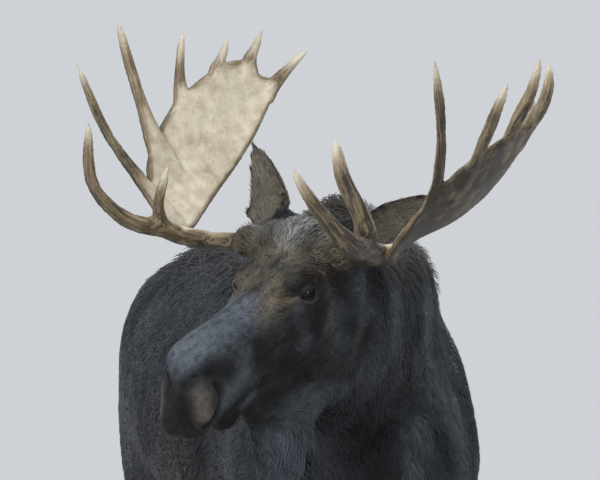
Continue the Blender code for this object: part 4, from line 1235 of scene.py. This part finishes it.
# Short round the eyes and nostrils and on the pad, and none on the lids, in the slits or under an antler.
SHORT_AT_EYE = (0.022, 0.060)
BARE_LID = (EYE_RADIUS + 0.0028, EYE_RADIUS + 0.0060)
BARE_SEAT = (0.016, 0.024)
BARE_SLIT = 9.5
THIN_LIPS = 7.5
SHORT_AT_SLIT = 18
SHORT_AT_PAD = 22
eye_gap = eye_gaps(points)
length *= 0.25 + 0.75 * ramp(eye_gap, *SHORT_AT_EYE)
length *= 1 - 0.55 * near_route(layout, SLIT, SHORT_AT_SLIT)
length *= 1 - 0.45 * near_route(layout, PAD, SHORT_AT_PAD)
slit = near_route(layout, SLIT, BARE_SLIT)
lips = near_route(layout, MOUTH, THIN_LIPS)
crowd *= ramp(eye_gap, *BARE_LID) * (1 - slit) * (1 - 0.8 * lips)
crowd *= ramp(seat_gap, *BARE_SEAT)
skin_fields = {
    "length": length, "half": half, "stand": stand, "poll": poll, "crest": crest, "ruff": ruff,
    "throat": np.clip(part["bell"] + 0.6 * chest, 0, 1),
}
skin_fields["sparkle"] = 0.14 + 0.13 * (part["head"] + part["jaw"] + part["ear"])
skin_fields.update(markings(points, normals, part))

skin.data.calc_loop_triangles()
corners_of = np.zeros(len(skin.data.loop_triangles) * 3, dtype=np.int64)
skin.data.loop_triangles.foreach_get("vertices", corners_of)
corners_of = corners_of.reshape(-1, 3)
a, b, c = (points[corners_of[:, i]] for i in range(3))
area = spans(np.cross(b - a, c - a)) / 2
kinds = sorted(part)
face_kind = np.array([part[kind][corners_of].mean(axis=1) for kind in kinds]).argmax(axis=0)


def scattered(chosen, crowding, seed):
    """Evenly mixed places on the chosen triangles: their numbers and shares of the three corners."""
    dice = np.random.default_rng(seed)
    weight = np.where(chosen, area * crowding[corners_of].mean(axis=1), 0)
    running = np.cumsum(weight)
    count = int(running[-1])
    at = (np.arange(count) + dice.uniform(0, 1, count)) * running[-1] / count
    number = np.minimum(np.searchsorted(running, at), len(weight) - 1)
    first, second = np.sqrt(dice.uniform(0, 1, count)), dice.uniform(0, 1, count)
    shares = np.stack([1 - first, first * (1 - second), first * second], axis=1)
    return number, shares


def carried(values, number, shares):
    """Values at the corners of the skin carried to places on its faces."""
    at = values[corners_of[number]]
    if at.ndim == 3:
        return np.einsum("nij,ni->nj", at, shares)
    return (at * shares).sum(axis=1)


# How deep a lock is rooted, how high its ridge is against its width, how it rises and how it waves.
ROOT_DEPTH = 0.0012
RIDGE = 0.75
RISE = 1.55
RISE_LESS = 1.05
WAVE = 5.2


def locks(roots, way, out, length, half, stand, curl, phase, bends):
    """Points and triangles of pointed locks, each a closed leaf with a ridge, bent at a few rings."""
    across = np.cross(way, out)
    count = len(roots)

    def spine(share):
        height = length * stand * share * (RISE - RISE_LESS * share)
        swing = curl * length * (np.sin(phase + WAVE * share) - np.sin(phase)) * share
        run = length * share * np.sqrt(1 - np.minimum(stand, 0.9) ** 2 * 0.5)
        return roots + way * run[:, None] + out * height[:, None] + across * swing[:, None]

    rows = [roots - out * ROOT_DEPTH]
    for share, wide in bends:
        middle = spine(share)
        width = half * wide
        rows.append(middle - across * width[:, None])
        rows.append(middle + across * width[:, None])
        rows.append(middle + out * (RIDGE * width)[:, None])
    rows.append(spine(1.0))
    each = len(rows)
    corners = np.stack(rows, axis=1).reshape(-1, 3)
    shape = [(0, 2, 3), (0, 3, 1), (0, 1, 2)]
    for ring in range(len(bends) - 1):
        left, right, ridge = 1 + 3 * ring, 2 + 3 * ring, 3 + 3 * ring
        shape += [(left, ridge, ridge + 3), (left, ridge + 3, left + 3)]
        shape += [(ridge, right, right + 3), (ridge, right + 3, ridge + 3)]
        shape += [(left, left + 3, right + 3), (left, right + 3, right)]
    left, right, ridge, tip = each - 4, each - 3, each - 2, each - 1
    shape += [(left, ridge, tip), (ridge, right, tip), (right, left, tip)]
    triangles = (np.array(shape)[None] + each * np.arange(count)[:, None, None]).reshape(-1, 3)
    along = np.array([0.0] + [share for share, _ in bends for _ in range(3)] + [1.0])
    return corners, triangles, each, np.tile(along, count)


def solid_of(name, corners, triangles):
    mesh = bpy.data.meshes.new(name)
    mesh.vertices.add(len(corners))
    mesh.vertices.foreach_set("co", corners.ravel())
    mesh.loops.add(len(triangles) * 3)
    mesh.loops.foreach_set("vertex_index", triangles.ravel().astype(np.int32))
    mesh.polygons.add(len(triangles))
    mesh.polygons.foreach_set("loop_start", np.arange(len(triangles), dtype=np.int32) * 3)
    mesh.update(calc_edges=True)
    thing = bpy.data.objects.new(name, mesh)
    bpy.context.scene.collection.objects.link(thing)
    return thing


PATCH = 0.003
MIDDLE_Z = 1.35
FRONT_Y, HIND_Y, BETWEEN_Y = -0.12, 1.16, 0.5
LEFT_X, RIGHT_X = 0.43, 0.06


def unrolled(kind, roots):
    """The skin's own shape unrolled round each limb: places in a square, from 0 to 1."""
    if kind in ("head", "jaw", "ear"):
        at = in_head(roots)
        turn = np.arctan2(at[:, 1], at[:, 2] + 0.13)
        run = at[:, 0]
    elif kind == "leg":
        on_left = roots[:, 0] > SPINE_X
        behind = roots[:, 1] > BETWEEN_Y
        leg_x = np.where(on_left, LEFT_X, RIGHT_X)
        leg_y = np.where(behind, HIND_Y, FRONT_Y)
        turn = np.arctan2(roots[:, 0] - leg_x, roots[:, 1] - leg_y)
        turn = (turn / math.pi + 1) / 2 + on_left + 2 * behind
        run = roots[:, 2]
    elif kind in ("bell", "tail"):
        middle = roots.mean(axis=0)
        turn = np.arctan2(roots[:, 0] - middle[0], roots[:, 1] - middle[1])
        run = roots[:, 2]
    else:
        turn = np.arctan2(roots[:, 0] - SPINE_X, roots[:, 2] - MIDDLE_Z)
        run = roots[:, 1]
    flat = np.stack([turn, run], axis=1)
    low, high = flat.min(axis=0), flat.max(axis=0)
    return PATCH + (1 - 2 * PATCH) * (flat - low) / np.maximum(high - low, 1e-6)


ROOT_SHADE = 0.62
TIP_LIGHTER = 0.42
UNEVEN_SHADE = 1.05
hair, wire = finish(
    "hair", 0.44, Specular_IOR_Level=0.15,
    Sheen_Weight=0.02, Sheen_Roughness=0.35, Sheen_Tint=(0.75, 0.85, 1.0, 1),
)
shade = ROOT_SHADE + TIP_LIGHTER * value_of(wire, "tip") + UNEVEN_SHADE * (value_of(wire, "lock") - 0.5)
wire.into("Base Color", scaled(wire, hair_colour(wire), shade))

# Where along a lock its rings sit and how wide they are, how much more the long hair stands out, and how
# unlike each other the locks are in direction, length, standing out and width.
SHORT = ((0.40, 1.0),)
LONG = ((0.28, 1.0), (0.64, 0.72))
WAVY = ((0.20, 1.0), (0.42, 0.92), (0.64, 0.75), (0.84, 0.45))
RAISED = {"crest": 0.26, "poll": 0.15, "ruff": 0.14}
WARP_LARGE = 0.30
WARP_SMALL = 0.28
WARP_SINGLE = 0.16
LENGTH_SPREAD = (0.70, 1.20)
STAND_SPREAD = (0.60, 1.35)
WIDTH_SPREAD = (0.75, 1.25)


def laid(name, kind, number, shares, bends, curl, stretch, seed):
    """One piece of the coat, over places on the skin."""
    dice = np.random.default_rng(seed)
    roots = carried(points, number, shares)
    out = unit(carried(normals, number, shares))
    way = carried(lie, number, shares)
    turn = WARP_LARGE * ripples(roots, 0.11, 31) + WARP_SMALL * ripples(roots, 0.028, 32)
    turn += dice.normal(0, WARP_SINGLE, len(roots))
    way = flat_on(way * np.cos(turn)[:, None] + np.cross(out, way) * np.sin(turn)[:, None], out)
    field = {key: carried(values, number, shares) for key, values in skin_fields.items()}
    uneven = dice.uniform(*LENGTH_SPREAD, len(roots))
    grown = field["length"] * uneven * stretch
    raised = field["stand"] * dice.uniform(*STAND_SPREAD, len(roots))
    raised += sum(RAISED[key] * field[key] for key in RAISED) * (stretch > 1)
    phase = 4.0 * ripples(roots, 0.034, 35) + dice.normal(0, 0.45 if stretch > 1 else 3.0, len(roots))
    wide = field["half"] * dice.uniform(*WIDTH_SPREAD, len(roots))
    wide *= 1 + 0.9 * field["poll"] * (stretch > 1)
    raised = np.clip(raised * (1 + 0.25 * ripples(roots, 0.05, 33)), 0.06, 0.85)
    corners, triangles, each, along = locks(roots, way, out, grown, wide, raised, curl, phase, bends)
    coat = solid_of(name, corners, triangles)
    marks = {key: np.repeat(field[key], each) for key in HAIR if key != "base"}
    clump = 0.5 + 0.12 * ripples(roots, 0.035, 34) + dice.normal(0, 1, len(roots)) * field["sparkle"]
    marks["tip"] = along
    marks["lock"] = np.repeat(np.clip(clump, 0, 1), each)
    named_values(coat, marks)
    spots = np.repeat(unrolled(kind, roots), each, axis=0)
    angle = np.tile(np.arange(each) * 2 * math.pi / each, len(roots))
    spots += PATCH / 2 * np.stack([np.cos(angle), np.sin(angle)], axis=1)
    layer = coat.data.uv_layers.new(name="OFBake")
    layer.data.foreach_set("uv", spots[triangles.ravel()].ravel())
    given_to(coat, hair, "coat")
    facing = unit(0.38 * normals_of(coat.data) + 0.62 * np.repeat(out, each, axis=0))
    coat.data.normals_split_custom_set_from_vertices(facing.tolist())


MOST_LOCKS = 32000
SHORT_CURL = 0.04
SHORT_SEED = 100
LONG_SEED = 300
for kind in kinds:
    number, shares = scattered(face_kind == kinds.index(kind), crowd, COAT_SEED + kinds.index(kind))
    pieces = -(-len(number) // MOST_LOCKS)
    order = np.argsort(carried(points, number, shares) @ np.array([0.05, 1.0, 0.0]), kind="stable")
    for count, chosen in enumerate(np.array_split(order, pieces)):
        name = f"coat_{kind}_{count + 1}"
        laid(name, kind, number[chosen], shares[chosen], SHORT, SHORT_CURL, 1.0, SHORT_SEED + count)

# Long hair, with its crowding, curl and stretch: the crest of the hump, the curly poll, the ruff round
# each antler, and the throat, chest and bell.
SHAGGY = (
    ("crest", "trunk", crest, 9000, 0.08, 1.50, LONG),
    ("poll", "head", poll, 60000, 0.20, 1.9, WAVY),
    ("ruff", "head", ruff, 60000, 0.14, 2.4, WAVY),
    ("throat", "bell", skin_fields["throat"] * (part["bell"] + chest), 14000, 0.12, 1.35, LONG),
)
for name, kind, where, crowding, curl, stretch, bends in SHAGGY:
    number, shares = scattered(area > 0, where * crowding, COAT_SEED + len(name))
    laid(f"coat_{name}", kind, number, shares, bends, curl, stretch, LONG_SEED + len(name))

# --- Studio -------------------------------------------------------------------------------------
# A pale seamless floor under large soft lights, and a long lens at the height of the animal's eyes.
FLOOR_RADIUS = 160
PAPER = (0.609, 0.608, 0.608, 1)
SKY = (0.86, 0.89, 0.93, 1)
SKY_STRENGTH = 0.72
bpy.ops.object.select_all(action="DESELECT")
bpy.ops.mesh.primitive_circle_add(vertices=128, radius=FLOOR_RADIUS, fill_type="NGON")
floor = bpy.context.active_object
floor.name = floor.data.name = "floor"
paper, wire = finish("pale_paper", 0.9, Base_Color=PAPER, Specular_IOR_Level=0.1)
floor.data.materials.append(paper)
floor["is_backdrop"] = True

world = bpy.data.worlds.new("studio")
world.use_nodes = True
world.node_tree.nodes["Background"].inputs["Color"].default_value = SKY
world.node_tree.nodes["Background"].inputs["Strength"].default_value = SKY_STRENGTH
bpy.context.scene.world = world
bpy.context.scene.view_settings.view_transform = "Standard"

# The lights, all turned to the middle of the shoulders.
shoulders = Vector((0.1, -0.5, 1.3))
for name, kind, place, size, power, tint in (
    ("overhead", "SUN", (-1.2, -2.5, 6.0), math.radians(75), 1.5, (0.93, 0.96, 1.0)),
    ("key", "AREA", (-4.5, -8.0, 5.0), 3.0, 340, (0.95, 0.97, 1.0)),
    ("rim", "AREA", (4.5, 5.5, 4.5), 4.0, 130, (0.92, 0.96, 1.0)),
):
    lamp = bpy.data.lights.new(name, kind)
    if kind == "SUN":
        lamp.angle = size
    else:
        lamp.size = size
    lamp.energy = power
    lamp.color = tint
    thing = bpy.data.objects.new(name, lamp)
    bpy.context.scene.collection.objects.link(thing)
    thing.location = place
    thing.visible_camera = False
    thing.rotation_euler = (shoulders - Vector(place)).to_track_quat("-Z", "Y").to_euler()

# The camera, aimed a little above the brow and to its right.
CAMERA_TURN = math.radians(-14)
CAMERA_RISE = math.radians(1)
CAMERA_AWAY = 14.0
FRAME_WIDTH = 1.32
SENSOR_WIDTH = 36
AIM_RIGHT = 0.0099
AIM_ABOVE = 0.0176
back = Vector((
    math.sin(CAMERA_TURN) * math.cos(CAMERA_RISE),
    -math.cos(CAMERA_TURN) * math.cos(CAMERA_RISE),
    math.sin(CAMERA_RISE),
))
right = Vector((math.cos(CAMERA_TURN), math.sin(CAMERA_TURN), 0))
aim = brow + right * AIM_RIGHT + back.cross(right) * AIM_ABOVE
camera = bpy.data.objects.new("camera", bpy.data.cameras.new("camera"))
bpy.context.scene.collection.objects.link(camera)
camera.location = aim + back * CAMERA_AWAY
camera.rotation_euler = back.to_track_quat("Z", "Y").to_euler()
camera.data.lens = SENSOR_WIDTH * CAMERA_AWAY / FRAME_WIDTH
camera.data.clip_end = 400
bpy.context.scene.camera = camera

low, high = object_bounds()
